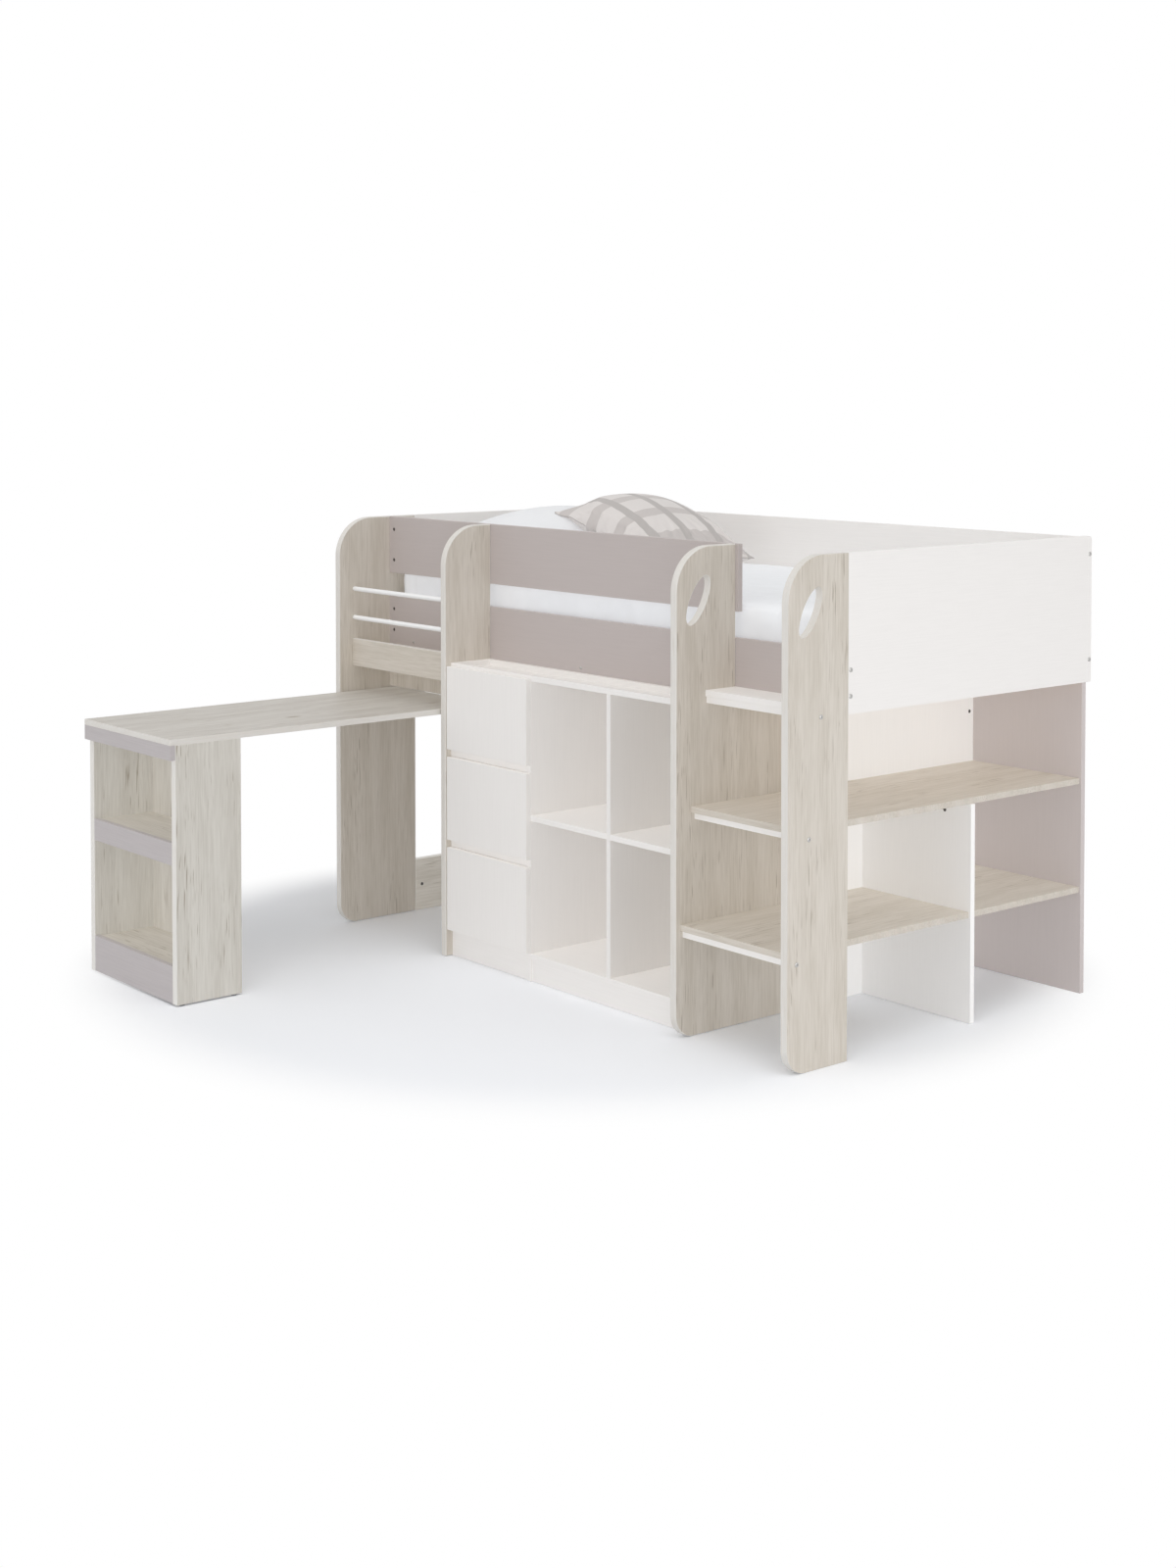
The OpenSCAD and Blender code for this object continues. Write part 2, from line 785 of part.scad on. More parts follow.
module desk_top() {
    color(oak) placed()
        slab([desk_left, -desk_reach, desk_under],
            [desk_right, desk_length - desk_reach, desk_h]);
}

// Three front bands: one under the top, one at the middle shelf and one at the floor
module desk_bands() {
    color(band_grey) placed() {
        slab([desk_left, -desk_reach, desk_under - top_band_h],
            [desk_right, pedestal_front, desk_under]);
        slab([desk_left + upright, pedestal_front, mid_band_top - mid_band_h],
            [desk_right - upright, pedestal_front + board, mid_band_top]);
        slab([desk_left + upright, pedestal_front, glide_h + band_lift],
            [desk_right - upright, pedestal_front + board, bottom_band_top]);
    }
}

module pedestal_gables() {
    color(oak) placed() for (x = [desk_left, desk_right - upright])
        slab([x, pedestal_front, glide_h], [x + upright, pedestal_back_y, desk_under]);
}

module pedestal_back() {
    color(oak) placed()
        slab([desk_left + upright, pedestal_back_y - board, glide_h + band_lift],
            [desk_right - upright, pedestal_back_y, desk_under]);
}

module pedestal_shelves() {
    color(oak) placed() for (top = [mid_band_top - shelf_drop, bottom_band_top - shelf_drop])
        slab([desk_left + upright, pedestal_front + board, top - board],
            [desk_right - upright, pedestal_back_y - board, top]);
}

// Plastic glides: four under the pedestal, and one on each side of the top near its back
// edge, which stands on the track beside it
glide_inset = 20;
side_glide_t = 4.4;
module desk_glides() {
    color("dimgray") placed() {
        for (x = [desk_left + upright / 2, desk_right - upright / 2])
            for (y = [pedestal_front + glide_inset, pedestal_back_y - glide_inset])
                translate([x, y, 0]) cylinder(h = glide_h, r = glide_r);
        translate([desk_left, side_glide_y, side_glide_z]) rotate(to_left)
            cylinder(h = side_glide_t, r = side_glide_r);
        translate([desk_right, side_glide_y, side_glide_z]) rotate(to_right)
            cylinder(h = side_glide_t, r = side_glide_r);
    }
}

// Steel tracks on the boards that flank the bay, each with its front end turned up as a stop
track_t = 5;
track_h = 12;
stop_length = 4;
stop_gap = 1;
side_glide_r = (board - track_t) / 2 + 1;
side_glide_y = desk_length - desk_reach - rear_glide_inset;
side_glide_z = desk_under + board / 2;
track_top = side_glide_z - side_glide_r - soft_clear;
track_front = side_glide_y - side_glide_r - stop_gap - stop_length;
module desk_tracks() {
    color(metal) placed() for (x = [left_in, bay_right - track_t]) {
        slab([x, track_front, track_top - track_h], [x + track_t, rear_in, track_top]);
        slab([x, track_front, track_top], [x + track_t, track_front + stop_length, side_glide_z]);
    }
}

// Board behind the storage upright: it closes the bay's right side and carries the bed's back
module desk_bay_panel() {
    color(melamine) placed()
        slab([bay_right, storage_back, 0], [bay_right + board, bed_depth, under_bed]);
}

// Book rack over the desk bay

module rack_rods() {
    color("white") placed() for (z = [lower_rod_h, lower_rod_h + rod_pitch])
        translate([left_in, rod_y, z]) rotate(to_right) cylinder(h = desk_bay_w, r = rod_r);
}

rack_rail_y = rod_y - rod_r;
module rack_front_rail() {
    color(oak) placed()
        slab([left_in, rack_rail_y, rack_bottom],
            [bay_right, rack_rail_y + board, rack_bottom + rack_rail_h]);
}

module rack_shelf() {
    color(oak) placed()
        slab([left_in, rack_rail_y + board, rack_bottom],
            [bay_right, guard_front, rack_bottom + board]);
}

rack_board_gap = 4;
module rack_back_board() {
    color(oak) placed()
        slab([left_in, guard_front, desk_h + rack_board_gap],
            [bay_right, guard_back, under_bed]);
}

// Fasteners

module barrel_nuts() {
    color(metal) placed() {
        for (p = rail_barrel_places) barrel(p, to_front);
        barrel(left_rail_barrel, to_right);
        barrel(divider_barrel, to_front);
        barrel(back_panel_barrel, to_right);
    }
}

module assembly_bolts() {
    color(metal) placed() {
        for (p = rail_bolt_places) bolt(p, to_right, bolt_head_r, bolt_r, bolt_length);
        for (z = rear_bolt_levels) {
            bolt([bed_length, rear_bolt_y, z], to_right, bolt_head_r, bolt_r, bolt_length);
            bolt([0, rear_bolt_y, z], to_left, bolt_head_r, bolt_r, bolt_length);
        }
        for (i = [0 : 2])
            bolt([bed_length, tread_rail_y(i) + board / 2, tread_rail_z(i) + tread_rail_h / 2],
                to_right, bolt_head_r, bolt_r, bolt_length);
        for (p = batten_screw_places) bolt(p, to_front, screw_head_r, screw_r, screw_length);
    }
}

left_upright();
storage_upright();
inner_ladder_upright();
outer_ladder_upright();
front_guard_board();
front_side_rail();
left_end_board();
right_end_board();
rear_board();
left_bottom_rail();
rear_left_leg();
rear_right_panel();
slat_battens();
bed_slats();
mattress();
bed_pillow();
scatter_cushion();
low_tread_shelf();
mid_tread_shelf();
top_step();
tread_rails();
bookcase_back_panel();
bookcase_divider();
lower_rear_shelf();
storage_gable();
cubby_divider();
storage_floor();
storage_plinths();
cubby_shelves();
storage_top_panel();
storage_tray_rails();
storage_back_panel();
drawer_rails();
drawer_runners();
drawer_front(2);  // top_drawer_front
drawer_box(2);  // top_drawer_box
drawer_bottom(2);  // top_drawer_bottom
drawer_slides(2);  // top_drawer_slides
drawer_front(1);  // middle_drawer_front
drawer_box(1);  // middle_drawer_box
drawer_bottom(1);  // middle_drawer_bottom
drawer_slides(1);  // middle_drawer_slides
drawer_front(0);  // bottom_drawer_front
drawer_box(0);  // bottom_drawer_box
drawer_bottom(0);  // bottom_drawer_bottom
drawer_slides(0);  // bottom_drawer_slides
desk_top();
desk_bands();
pedestal_gables();
pedestal_back();
pedestal_shelves();
desk_glides();
desk_tracks();
desk_bay_panel();
rack_rods();
rack_front_rail();
rack_shelf();
rack_back_board();
barrel_nuts();
assembly_bolts();
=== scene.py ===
"""Looks of a child's mid sleeper bed with a pull-out desk.

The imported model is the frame. Each operator dresses one group of pieces: it copies or rebuilds a
piece where the frame holds it, softens its arrises, gives it a procedural finish and lets it ride
on the frame's body. Lengths are in metres, +X runs along the bed towards the ladder, +Y towards
the wall and +Z up.
"""

import json
import math

import bmesh
import bpy
from bpy.props import FloatProperty, FloatVectorProperty, PointerProperty
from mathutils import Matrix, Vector, noise

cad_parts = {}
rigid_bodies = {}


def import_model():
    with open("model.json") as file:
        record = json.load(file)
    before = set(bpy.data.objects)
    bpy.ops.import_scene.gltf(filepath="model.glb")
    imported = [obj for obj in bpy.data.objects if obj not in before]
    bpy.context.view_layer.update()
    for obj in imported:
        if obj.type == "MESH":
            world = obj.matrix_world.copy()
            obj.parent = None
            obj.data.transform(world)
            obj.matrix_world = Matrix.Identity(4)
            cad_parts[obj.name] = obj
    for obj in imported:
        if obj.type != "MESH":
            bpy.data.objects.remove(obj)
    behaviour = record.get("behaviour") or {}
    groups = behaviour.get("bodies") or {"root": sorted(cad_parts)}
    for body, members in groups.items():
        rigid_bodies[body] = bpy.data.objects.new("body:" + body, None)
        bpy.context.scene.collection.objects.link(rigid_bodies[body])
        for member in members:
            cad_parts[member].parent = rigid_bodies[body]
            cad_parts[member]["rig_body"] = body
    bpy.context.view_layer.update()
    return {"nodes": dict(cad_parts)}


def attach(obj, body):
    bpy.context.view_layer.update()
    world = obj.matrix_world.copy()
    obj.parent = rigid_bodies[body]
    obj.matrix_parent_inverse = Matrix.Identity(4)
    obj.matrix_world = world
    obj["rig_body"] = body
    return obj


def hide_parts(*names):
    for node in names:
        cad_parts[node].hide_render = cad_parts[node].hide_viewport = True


bl_info = {
    "name": "Mid sleeper bed",
    "version": (1, 0, 0),
    "blender": (4, 5, 0),
    "location": "3D View > Sidebar > Mid sleeper",
    "description": "Dresses a mid sleeper bed with a pull-out desk",
    "category": "Object",
}

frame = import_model()
AXES = {"x": Vector((1, 0, 0)), "y": Vector((0, 1, 0)), "z": Vector((0, 0, 1))}


# Settings

def linear(channel):
    """The linear value of a display value from 0 to 255."""
    share = channel / 255
    if share <= 0.04045:
        return share / 12.92
    return ((share + 0.055) / 1.055) ** 2.4


def colour_property(name, description, red, green, blue):
    """A colour whose default is given in display values."""
    return FloatVectorProperty(
        name=name, description=description, subtype="COLOR", size=3, min=0, max=1,
        default=(linear(red), linear(green), linear(blue)))


def length_property(name, description, metres, low=0.0, high=3.0):
    return FloatProperty(
        name=name, description=description, subtype="DISTANCE", unit="LENGTH",
        min=low, max=high, default=metres)


def place_property(name, description, place):
    return FloatVectorProperty(
        name=name, description=description, subtype="TRANSLATION", unit="LENGTH", size=3,
        default=place)


def power_property(name, description, watts):
    return FloatProperty(
        name=name, description=description, subtype="POWER", unit="POWER", min=0,
        default=watts)


def angle_property(name, description, degrees):
    return FloatProperty(
        name=name, description=description, subtype="ANGLE", unit="ROTATION",
        default=math.radians(degrees))


def number_property(name, description, number, low=0.0, high=20.0):
    """A share, a strength or another number without a unit."""
    return FloatProperty(
        name=name, description=description, min=low, max=high, default=number)


class BoardSettings(bpy.types.PropertyGroup):
    """Finishes of the boards."""

    arris: length_property("Board arris", "Rounding of a board's edges", 0.0009, 0, 0.004)
    upright_arris: length_property(
        "Upright arris", "Rounding of an upright's edges", 0.0028, 0, 0.008)
    oak_light: colour_property("Oak, light", "Ground of the washed oak", 212, 205, 195)
    oak_dark: colour_property("Oak, dark", "Streaks of the washed oak", 196, 188, 176)
    oak_fleck: colour_property("Oak flecks", "Pores and knots of the oak", 156, 145, 131)
    # The desk top's oak is a darker, cooler copy of the washed oak. Its darkness is painted shade:
    # the fills light the desk top under the bed as if it stood in the open. Its cooler tone is its
    # own.
    desk_light: colour_property("Desk oak, light", "Ground of the desk top's oak", 201, 197, 190)
    desk_dark: colour_property("Desk oak, dark", "Streaks of the desk top's oak", 181, 175, 167)
    # The pedestal's oak is a slightly darker, cooler copy of the washed oak. Its darkness is
    # painted shade for the bay under the bed, which shadowless fills light evenly. Its greyer tone
    # is its own.
    pedestal_light: colour_property("Pedestal, light", "Ground of its oak", 209, 204, 195)
    pedestal_dark: colour_property("Pedestal, dark", "Streaks of its oak", 193, 187, 177)
    oak_edge: colour_property("Oak edging", "Edge bands of the oak boards", 219, 216, 211)
    white: colour_property("White board", "White melamine", 238, 235, 232)
    white_grain: colour_property("White grain", "Faint grain of the melamine", 234, 231, 228)
    taupe: colour_property("Taupe board", "Taupe melamine", 188, 179, 176)
    taupe_grain: colour_property("Taupe grain", "Mottle of the taupe", 183, 174, 171)
    band: colour_property("Desk bands", "Grey taupe of the desk bands", 186, 180, 180)
    band_grain: colour_property("Band grain", "Mottle of the desk bands", 180, 174, 174)
    pine_light: colour_property("Pine, light", "Ground of the slats", 226, 203, 164)
    pine_dark: colour_property("Pine, dark", "Growth lines of the slats", 201, 168, 122)


class BeddingSettings(bpy.types.PropertyGroup):
    """Sizes and colours of the bedding."""

    pressure: number_property("Filling pressure", "Pressure of the filling on its cover", 3.0)
    cushion_give: length_property("Cushion give", "How far a cover may move", 0.009, 0, 0.03)
    pucker: length_property("Puckers", "Height of the puckers at a seam", 0.008, 0, 0.03)
    piping: length_property("Piping", "Radius of the cord in a seam", 0.0016, 0.0005, 0.01)
    settle: number_property("Settle", "Share by which a crown sinks in use", 0.09, 0, 0.4)
    seam_gather: number_property("Seam gather", "Share that a seam draws in", 0.035, 0, 0.2)
    sheet_mesh: length_property("Sheet mesh", "Mesh width of the fitted sheet", 0.009, 0.004, 0.03)
    sheet_crease: length_property("Sheet creases", "Height of the sheet's creases", 0.006, 0, 0.02)
    lattice: length_property("Lattice", "Repeat of the cushion's lattice", 0.115, 0.02, 0.4)
    sheet: colour_property("Sheet", "Fitted sheet of the mattress", 246, 248, 251)
    pillow: colour_property("Pillow", "Cover of the bed pillow", 240, 241, 243)
    cushion_mid: colour_property("Cushion mid", "Mid bands of the cushion", 198, 192, 189)
    cushion_light: colour_property("Cushion light", "Pale ground of the cushion", 222, 217, 214)
    cushion_dark: colour_property("Cushion dark", "Grey bands of the cushion", 183, 178, 175)


class FittingSettings(bpy.types.PropertyGroup):
    """Sizes and colours of the metal and plastic parts."""

    steel: colour_property("Steel", "Zinc plated steel", 190, 189, 187)
    barrel: colour_property("Barrel", "Dark zinc of the barrel nuts", 104, 100, 97)
    rod: colour_property("Rod", "Powder coat of the rack rods", 240, 240, 240)
    plastic: colour_property("Plastic", "Moulded glides", 92, 92, 94)
    rod_arris: length_property("Rod arris", "Rounding of a rod's ends", 0.0012, 0, 0.004)
    strip_arris: length_property("Strip arris", "Rounding of strips and glides", 0.0006, 0, 0.004)
    head_height: length_property("Head height", "Height of a bolt head", 0.002, 0.0005, 0.01)
    barrel_length: length_property("Barrel length", "Length of a barrel nut", 0.012, 0.004, 0.03)


class StudioSettings(bpy.types.PropertyGroup):
    """Light, floor and camera."""

    world_level: number_property("World level", "Strength of the all-round light", 0.54)
    key_lamp: power_property("Key lamp", "Power of the large lamp beside the camera", 22)
    front_lamp: power_property("Front lamp", "Power of the low lamp before the bed", 8)
    foot_lamp: power_property("Foot lamp", "Power of the low lamp beyond the ladder", 29)
    top_lamp: power_property("Top lamp", "Power of the lamp over the floor", 78)
    down_fill: number_property("Fill from above", "Even light on what looks up", 1.05)
    front_fill: number_property("Fill from the front", "Even light on what looks forwards", 0.42)
    side_fill: number_property("Fill from the side", "Even light on what looks sideways", 0.36)
    bay_fill: number_property("Fill of the bays", "Even light deep in the bays", 0.8)
    bay_colour: colour_property("Colour of the bay fill", "Evens out the oak's glow", 236, 246, 255)
    fill_spread: angle_property("Spread of the fills", "Angle over which a fill comes in", 30)
    floor: colour_property("Floor", "Colour of the studio floor", 243, 245, 249)
    floor_glow: number_property("Floor glow", "Glow that the camera sees", 0.1, 0, 1)
    fade_start: length_property("Fade start", "Where the floor starts to turn white", 1.15, 0, 20)
    fade_end: length_property("Fade end", "Where the floor is plain white", 1.5, 0, 20)
    fade_offset: place_property("Fade offset", "Shift of the fade's middle", (0.2, -0.2, 0))
    lens: number_property("Lens", "Focal length in mm for a 36 mm sensor", 51.186, 1, 300)
    shift: number_property("Vertical shift", "Share of the long side", -0.2054, -1, 1)
    position: place_property(
        "Camera position", "Where the photograph was taken from", (4.6974, -3.8556, 1.64175))
    yaw: angle_property("Yaw", "Turn of the camera from +Y", 50.28)
    pitch: angle_property("Pitch", "Tilt of the camera below the horizon", 2)


# Node helpers

def rgba(colour):
    return (*colour[:3], 1)


def feed(tree, node, inputs):
    """Feeds the named or numbered inputs of a node from other sockets or plain values."""
    for name, value in inputs.items():
        if isinstance(value, bpy.types.NodeSocket):
            tree.links.new(value, node.inputs[name])
        else:
            node.inputs[name].default_value = value


def add(tree, kind, inputs=None, **settings):
    """A new node with its settings and its inputs."""
    node = tree.nodes.new(kind)
    for name, value in settings.items():
        setattr(node, name, value)
    feed(tree, node, inputs or {})
    return node


def maths(tree, operation, *operands, clamp=False):
    return add(tree, "ShaderNodeMath", dict(enumerate(operands)),
               operation=operation, use_clamp=clamp).outputs[0]


def weighted_sum(tree, *terms):
    """The sum of values, each times its weight."""
    total = None
    for value, weight in terms:
        share = maths(tree, "MULTIPLY", value, weight)
        total = share if total is None else maths(tree, "ADD", total, share)
    return total


def spread(tree, value, low, high, out_low=0.0, out_high=1.0):
    """Maps a value smoothly from one range to another."""
    return add(
        tree, "ShaderNodeMapRange",
        {"Value": value, "From Min": low, "From Max": high, "To Min": out_low,
         "To Max": out_high},
        interpolation_type="SMOOTHSTEP").outputs["Result"]


def blend_colours(tree, factor, first, second):
    return add(tree, "ShaderNodeMix", {0: factor, 6: first, 7: second},
               data_type="RGBA").outputs[2]


def mix_shaders(tree, factor, first, second):
    return add(tree, "ShaderNodeMixShader",
               {0: factor, 1: first.outputs[0], 2: second.outputs[0]})


def mapped(tree, vector, scale=(1, 1, 1), rotation=(0, 0, 0), location=(0, 0, 0)):
    return add(
        tree, "ShaderNodeMapping",
        {"Vector": vector, "Scale": scale, "Rotation": rotation, "Location": location}
    ).outputs["Vector"]


def noise_value(tree, vector, scale, detail=2.0, roughness=0.5, distortion=0.0):
    return add(
        tree, "ShaderNodeTexNoise",
        {"Vector": vector, "Scale": scale, "Detail": detail, "Roughness": roughness,
         "Distortion": distortion}).outputs["Fac"]


def grain_noise(tree, vector, squeeze, scale, detail=2.0, roughness=0.5):
    """Noise that runs long along Z, because that axis is squeezed."""
    return noise_value(tree, mapped(tree, vector, (1, 1, squeeze)), scale, detail, roughness)


VECTOR, COLOUR, FLOAT = "NodeSocketVector", "NodeSocketColor", "NodeSocketFloat"


def new_group(name, inputs, outputs):
    """A shader node group with a vector input, its given sockets and its output node.

    Inputs are named with a default, colours as tuples and the rest as numbers.
    """
    group = bpy.data.node_groups.new(name, "ShaderNodeTree")
    sockets = group.interface
    sockets.new_socket("Vector", in_out="INPUT", socket_type=VECTOR)
    for socket_name, value in inputs.items():
        kind = COLOUR if isinstance(value, tuple) else FLOAT
        sockets.new_socket(socket_name, in_out="INPUT", socket_type=kind).default_value = value
    for socket_name in outputs:
        kind = COLOUR if socket_name == "Colour" else FLOAT
        sockets.new_socket(socket_name, in_out="OUTPUT", socket_type=kind)
    return group, group.nodes.new("NodeGroupInput").outputs, group.nodes.new("NodeGroupOutput")


def build_wood_group():
    """Wood whose grain runs along Z of the vector: streaks, cathedral lines, flecks and knots."""
    group, given, out = new_group(
        "wood_grain",
        {"Light": (0.6, 0.55, 0.5, 1), "Dark": (0.45, 0.4, 0.35, 1),
         "Fleck": (0.3, 0.25, 0.2, 1), "Streaks": 1.0, "Flecks": 1.0, "Knots": 1.0},
        ("Colour", "Height", "Roughness"))
    wander = grain_noise(group, given["Vector"], squeeze=0.5, scale=2.6)
    push = add(group, "ShaderNodeCombineXYZ", {"X": wander, "Y": wander})
    bend = add(group, "ShaderNodeVectorMath", {0: push.outputs[0], "Scale": 0.03},
               operation="SCALE")
    grain = add(group, "ShaderNodeVectorMath", {0: given["Vector"], 1: bend.outputs[0]},
                operation="ADD").outputs[0]

    broad = grain_noise(group, grain, squeeze=0.07, scale=24, detail=3.0)
    medium = grain_noise(group, grain, squeeze=0.05, scale=160, detail=3.0, roughness=0.6)
    fine = grain_noise(group, grain, squeeze=0.035, scale=420, roughness=0.6)
    wave = add(
        group, "ShaderNodeTexWave",
        {"Vector": mapped(group, grain, (1, 1, 0.09)), "Scale": 7.0, "Distortion": 5.0,
         "Detail": 2.0, "Detail Scale": 0.7},
        wave_type="BANDS", bands_direction="DIAGONAL")
    streak = weighted_sum(
        group, (broad, 0.22), (medium, 0.4), (fine, 0.32), (wave.outputs["Fac"], 0.06))
    streak = spread(group, streak, low=0.36, high=0.66)
    streak = maths(group, "MULTIPLY", streak, given["Streaks"], clamp=True)
    colour = blend_colours(group, streak, given["Light"], given["Dark"])

    pores = grain_noise(group, grain, squeeze=0.05, scale=250, detail=1.0)
    clusters = grain_noise(group, grain, squeeze=0.25, scale=15)
    pores = maths(group, "MULTIPLY", spread(group, pores, low=0.6, high=0.72),
                  spread(group, clusters, low=0.46, high=0.64))
    pores = maths(group, "MULTIPLY", pores, given["Flecks"], clamp=True)
    colour = blend_colours(group, pores, colour, given["Fleck"])

    cell = add(
        group, "ShaderNodeTexVoronoi",
        {"Vector": mapped(group, grain, (1, 1, 0.45)), "Scale": 3.1, "Randomness": 1.0})
    knot = spread(group, cell.outputs["Distance"], 0.012, 0.05, out_low=1.0, out_high=0.0)
    knot = maths(group, "MULTIPLY", knot, given["Knots"], clamp=True)

    feed(group, out, {
        "Colour": blend_colours(group, knot, colour, given["Fleck"]),
        "Height": maths(group, "SUBTRACT", maths(group, "MULTIPLY", fine, 0.5), pores),
        "Roughness": maths(group, "ADD", maths(group, "MULTIPLY", medium, 0.14), 0.44)})
    return group


def build_board_group():
    """Pressed melamine: a mottle, a faint grain along Z of the vector and fine pits."""
    group, given, out = new_group(
        "melamine",
        {"Ground": (0.8, 0.8, 0.8, 1), "Grain": (0.75, 0.75, 0.75, 1), "Grain amount": 1.0},
        ("Colour", "Height", "Roughness"))
    broad = grain_noise(group, given["Vector"], squeeze=0.2, scale=9)
    lines = grain_noise(
        group, given["Vector"], squeeze=0.03, scale=300, detail=3.0, roughness=0.6)
    pits = noise_value(group, given["Vector"], 1400, 1.0)
    share = weighted_sum(group, (broad, 0.12), (lines, 0.88))
    share = spread(group, share, low=0.36, high=0.66)
    share = maths(group, "MULTIPLY", share, given["Grain amount"], clamp=True)
    feed(group, out, {
        "Colour": blend_colours(group, share, given["Ground"], given["Grain"]),
        "Height": weighted_sum(group, (lines, 0.6), (pits, 0.4)),
        "Roughness": maths(group, "ADD", maths(group, "MULTIPLY", lines, 0.12), 0.4)})
    return group


def build_cloth_group():
    """Plain woven cotton: crossed threads and a soft crumple."""
    group, given, out = new_group(
        "cotton_weave", {"Threads": 1400.0, "Crumple": 0.5}, ("Height", "Shade"))
    warp, weft = (
        add(group, "ShaderNodeTexWave",
            {"Vector": given["Vector"], "Scale": given["Threads"], "Distortion": 0.3,
             "Detail": 1.0},
            wave_type="BANDS", bands_direction=direction).outputs["Fac"]
        for direction in "XY")
    weave = maths(group, "MULTIPLY", maths(group, "MULTIPLY", warp, weft), 0.05)
    crumple = noise_value(group, given["Vector"], 9, 4.0, 0.55, distortion=0.6)
    crumple = maths(group, "MULTIPLY", crumple, given["Crumple"])
    feed(group, out, {
        "Height": maths(group, "ADD", weave, crumple),
        "Shade": noise_value(group, given["Vector"], 30, 3.0)})
    return group


GROUPS = {
    "wood_grain": build_wood_group,
    "melamine": build_board_group,
    "cotton_weave": build_cloth_group,
}


def place_group(tree, name, inputs):
    """The outputs of a shared group, which is built when it is first needed."""
    node = tree.nodes.new("ShaderNodeGroup")
    node.node_tree = bpy.data.node_groups.get(name) or GROUPS[name]()
    feed(tree, node, inputs)
    return node.outputs


# Materials

BOARD_GLOSS = 0.35
GRAIN_TURNS = {"x": (0, math.radians(90), 0), "y": (math.radians(90), 0, 0), "z": (0, 0, 0)}
# Of each board group: its colour inputs, its bump's strength and distance, and where it starts
PATTERNS = {
    "wood_grain": ("Light Dark Fleck", 0.25, 0.0004, (3.1, 1.7, 0.4)),
    "melamine": ("Ground Grain", 0.08, 0.0002, (0, 0, 0)),
}
# Of each finish: its material, its group, the settings of its colours and its other inputs
FINISHES = {
    "oak": ("washed_oak", "wood_grain", "oak_light oak_dark oak_fleck", {"Flecks": 0.8}),
    # The desk oak is darker than the washed oak to paint the shade of the bed over the desk top.
    "desk": ("desk_oak", "wood_grain", "desk_light desk_dark oak_fleck", {}),
    # The pedestal oak is a little darker than the washed oak to paint the shade of the bay.
    "pedestal": ("pedestal_oak", "wood_grain", "pedestal_light pedestal_dark oak_fleck", {}),
    "oak_edge": ("oak_edging", "wood_grain", "oak_edge oak_light oak_dark",
                 {"Streaks": 0.45, "Flecks": 0.3, "Knots": 0.0}),
    "pine": ("planed_pine", "wood_grain", "pine_light pine_dark pine_dark",
             {"Flecks": 0.3, "Knots": 0.6}),
    "white": ("white_melamine", "melamine", "white white_grain", {"Grain amount": 0.5}),
    "taupe": ("taupe_melamine", "melamine", "taupe taupe_grain", {"Grain amount": 0.35}),
    "band": ("grey_melamine", "melamine", "band band_grain", {"Grain amount": 0.8}),
}


def blank_material(name, roughness=0.5, metallic=0.0, specular=0.5):
    """A material with a plain Principled shader, its tree and its object coordinates."""
    material = bpy.data.materials.new(name)
    material.use_nodes = True
    tree = material.node_tree
    shader = next(n for n in tree.nodes if n.type == "BSDF_PRINCIPLED")
    feed(tree, shader, {
        "Roughness": roughness, "Metallic": metallic, "Specular IOR Level": specular})
    place = add(tree, "ShaderNodeTexCoord")
    return material, tree, shader, place.outputs["Object"]


def bump(tree, shader, height, strength, distance):
    node = add(tree, "ShaderNodeBump",
               {"Height": height, "Strength": strength, "Distance": distance})
    feed(tree, shader, {"Normal": node.outputs["Normal"]})


def board_material(key):
    """The finish for a key such as oak_z, whose last letter is the axis of the grain."""
    kind, axis = key.rsplit("_", 1)
    name, group, colours, amounts = FINISHES[kind]
    name = f"{name}_{axis}"
    if name in bpy.data.materials:
        return bpy.data.materials[name]
    sockets, strength, distance, start = PATTERNS[group]
    material, tree, shader, place = blank_material(name, specular=BOARD_GLOSS)
    inputs = {"Vector": mapped(tree, place, rotation=GRAIN_TURNS[axis], location=start)}
    for socket, colour in zip(sockets.split(), colours.split()):
        inputs[socket] = rgba(getattr(bpy.context.scene.board_settings, colour))
    pattern = place_group(tree, group, inputs | amounts)
    feed(tree, shader, {
        "Base Color": pattern["Colour"], "Roughness": pattern["Roughness"]})
    bump(tree, shader, pattern["Height"], strength, distance)
    return material


def metal_finish(name, colour, roughness, metallic, grain=160, strength=0.05):
    """Metal or a coat on it, a little uneven in gloss and surface."""
    material, tree, shader, place = blank_material(name, roughness, metallic)
    cloud = noise_value(tree, place, grain, 3.0)
    feed(tree, shader, {
        "Base Color": rgba(colour),
        "Roughness": spread(
            tree, cloud, 0.3, 0.7, out_low=roughness * 0.85, out_high=roughness * 1.2)})
    bump(tree, shader, cloud, strength, 0.0003)
    return material


def cloth_finish(name, colour=None, pattern=None):
    """A woven cotton with a soft crumple, of one colour or of a pattern from a function."""
    material, tree, shader, place = blank_material(name, 0.85, specular=0.2)
    weave = place_group(tree, "cotton_weave", {"Vector": place})
    if pattern:
        base = pattern(tree, place)
    else:
        shaded = [channel * 0.95 for channel in colour[:3]]
        base = blend_colours(tree, weave["Shade"], rgba(colour), rgba(shaded))
    feed(tree, shader, {"Base Color": base, "Sheen Weight": 0.25, "Sheen Roughness": 0.5})
    bump(tree, shader, weave["Height"], 0.35, 0.004)
    return material


# Mesh helpers

WELD_REACH = 1e-6
FLAT_ANGLE = math.radians(1.0)
SHARP_ANGLE = math.radians(35)
FACE_SHARE = 0.9  # how squarely a face has to look along the thin axis to be a board's face


def link(name, mesh, materials=()):
    """A new object for a mesh, with its materials."""
    for material in materials:
        mesh.materials.append(material)
    piece = bpy.data.objects.new(name, mesh)
    bpy.context.scene.collection.objects.link(piece)
    return piece


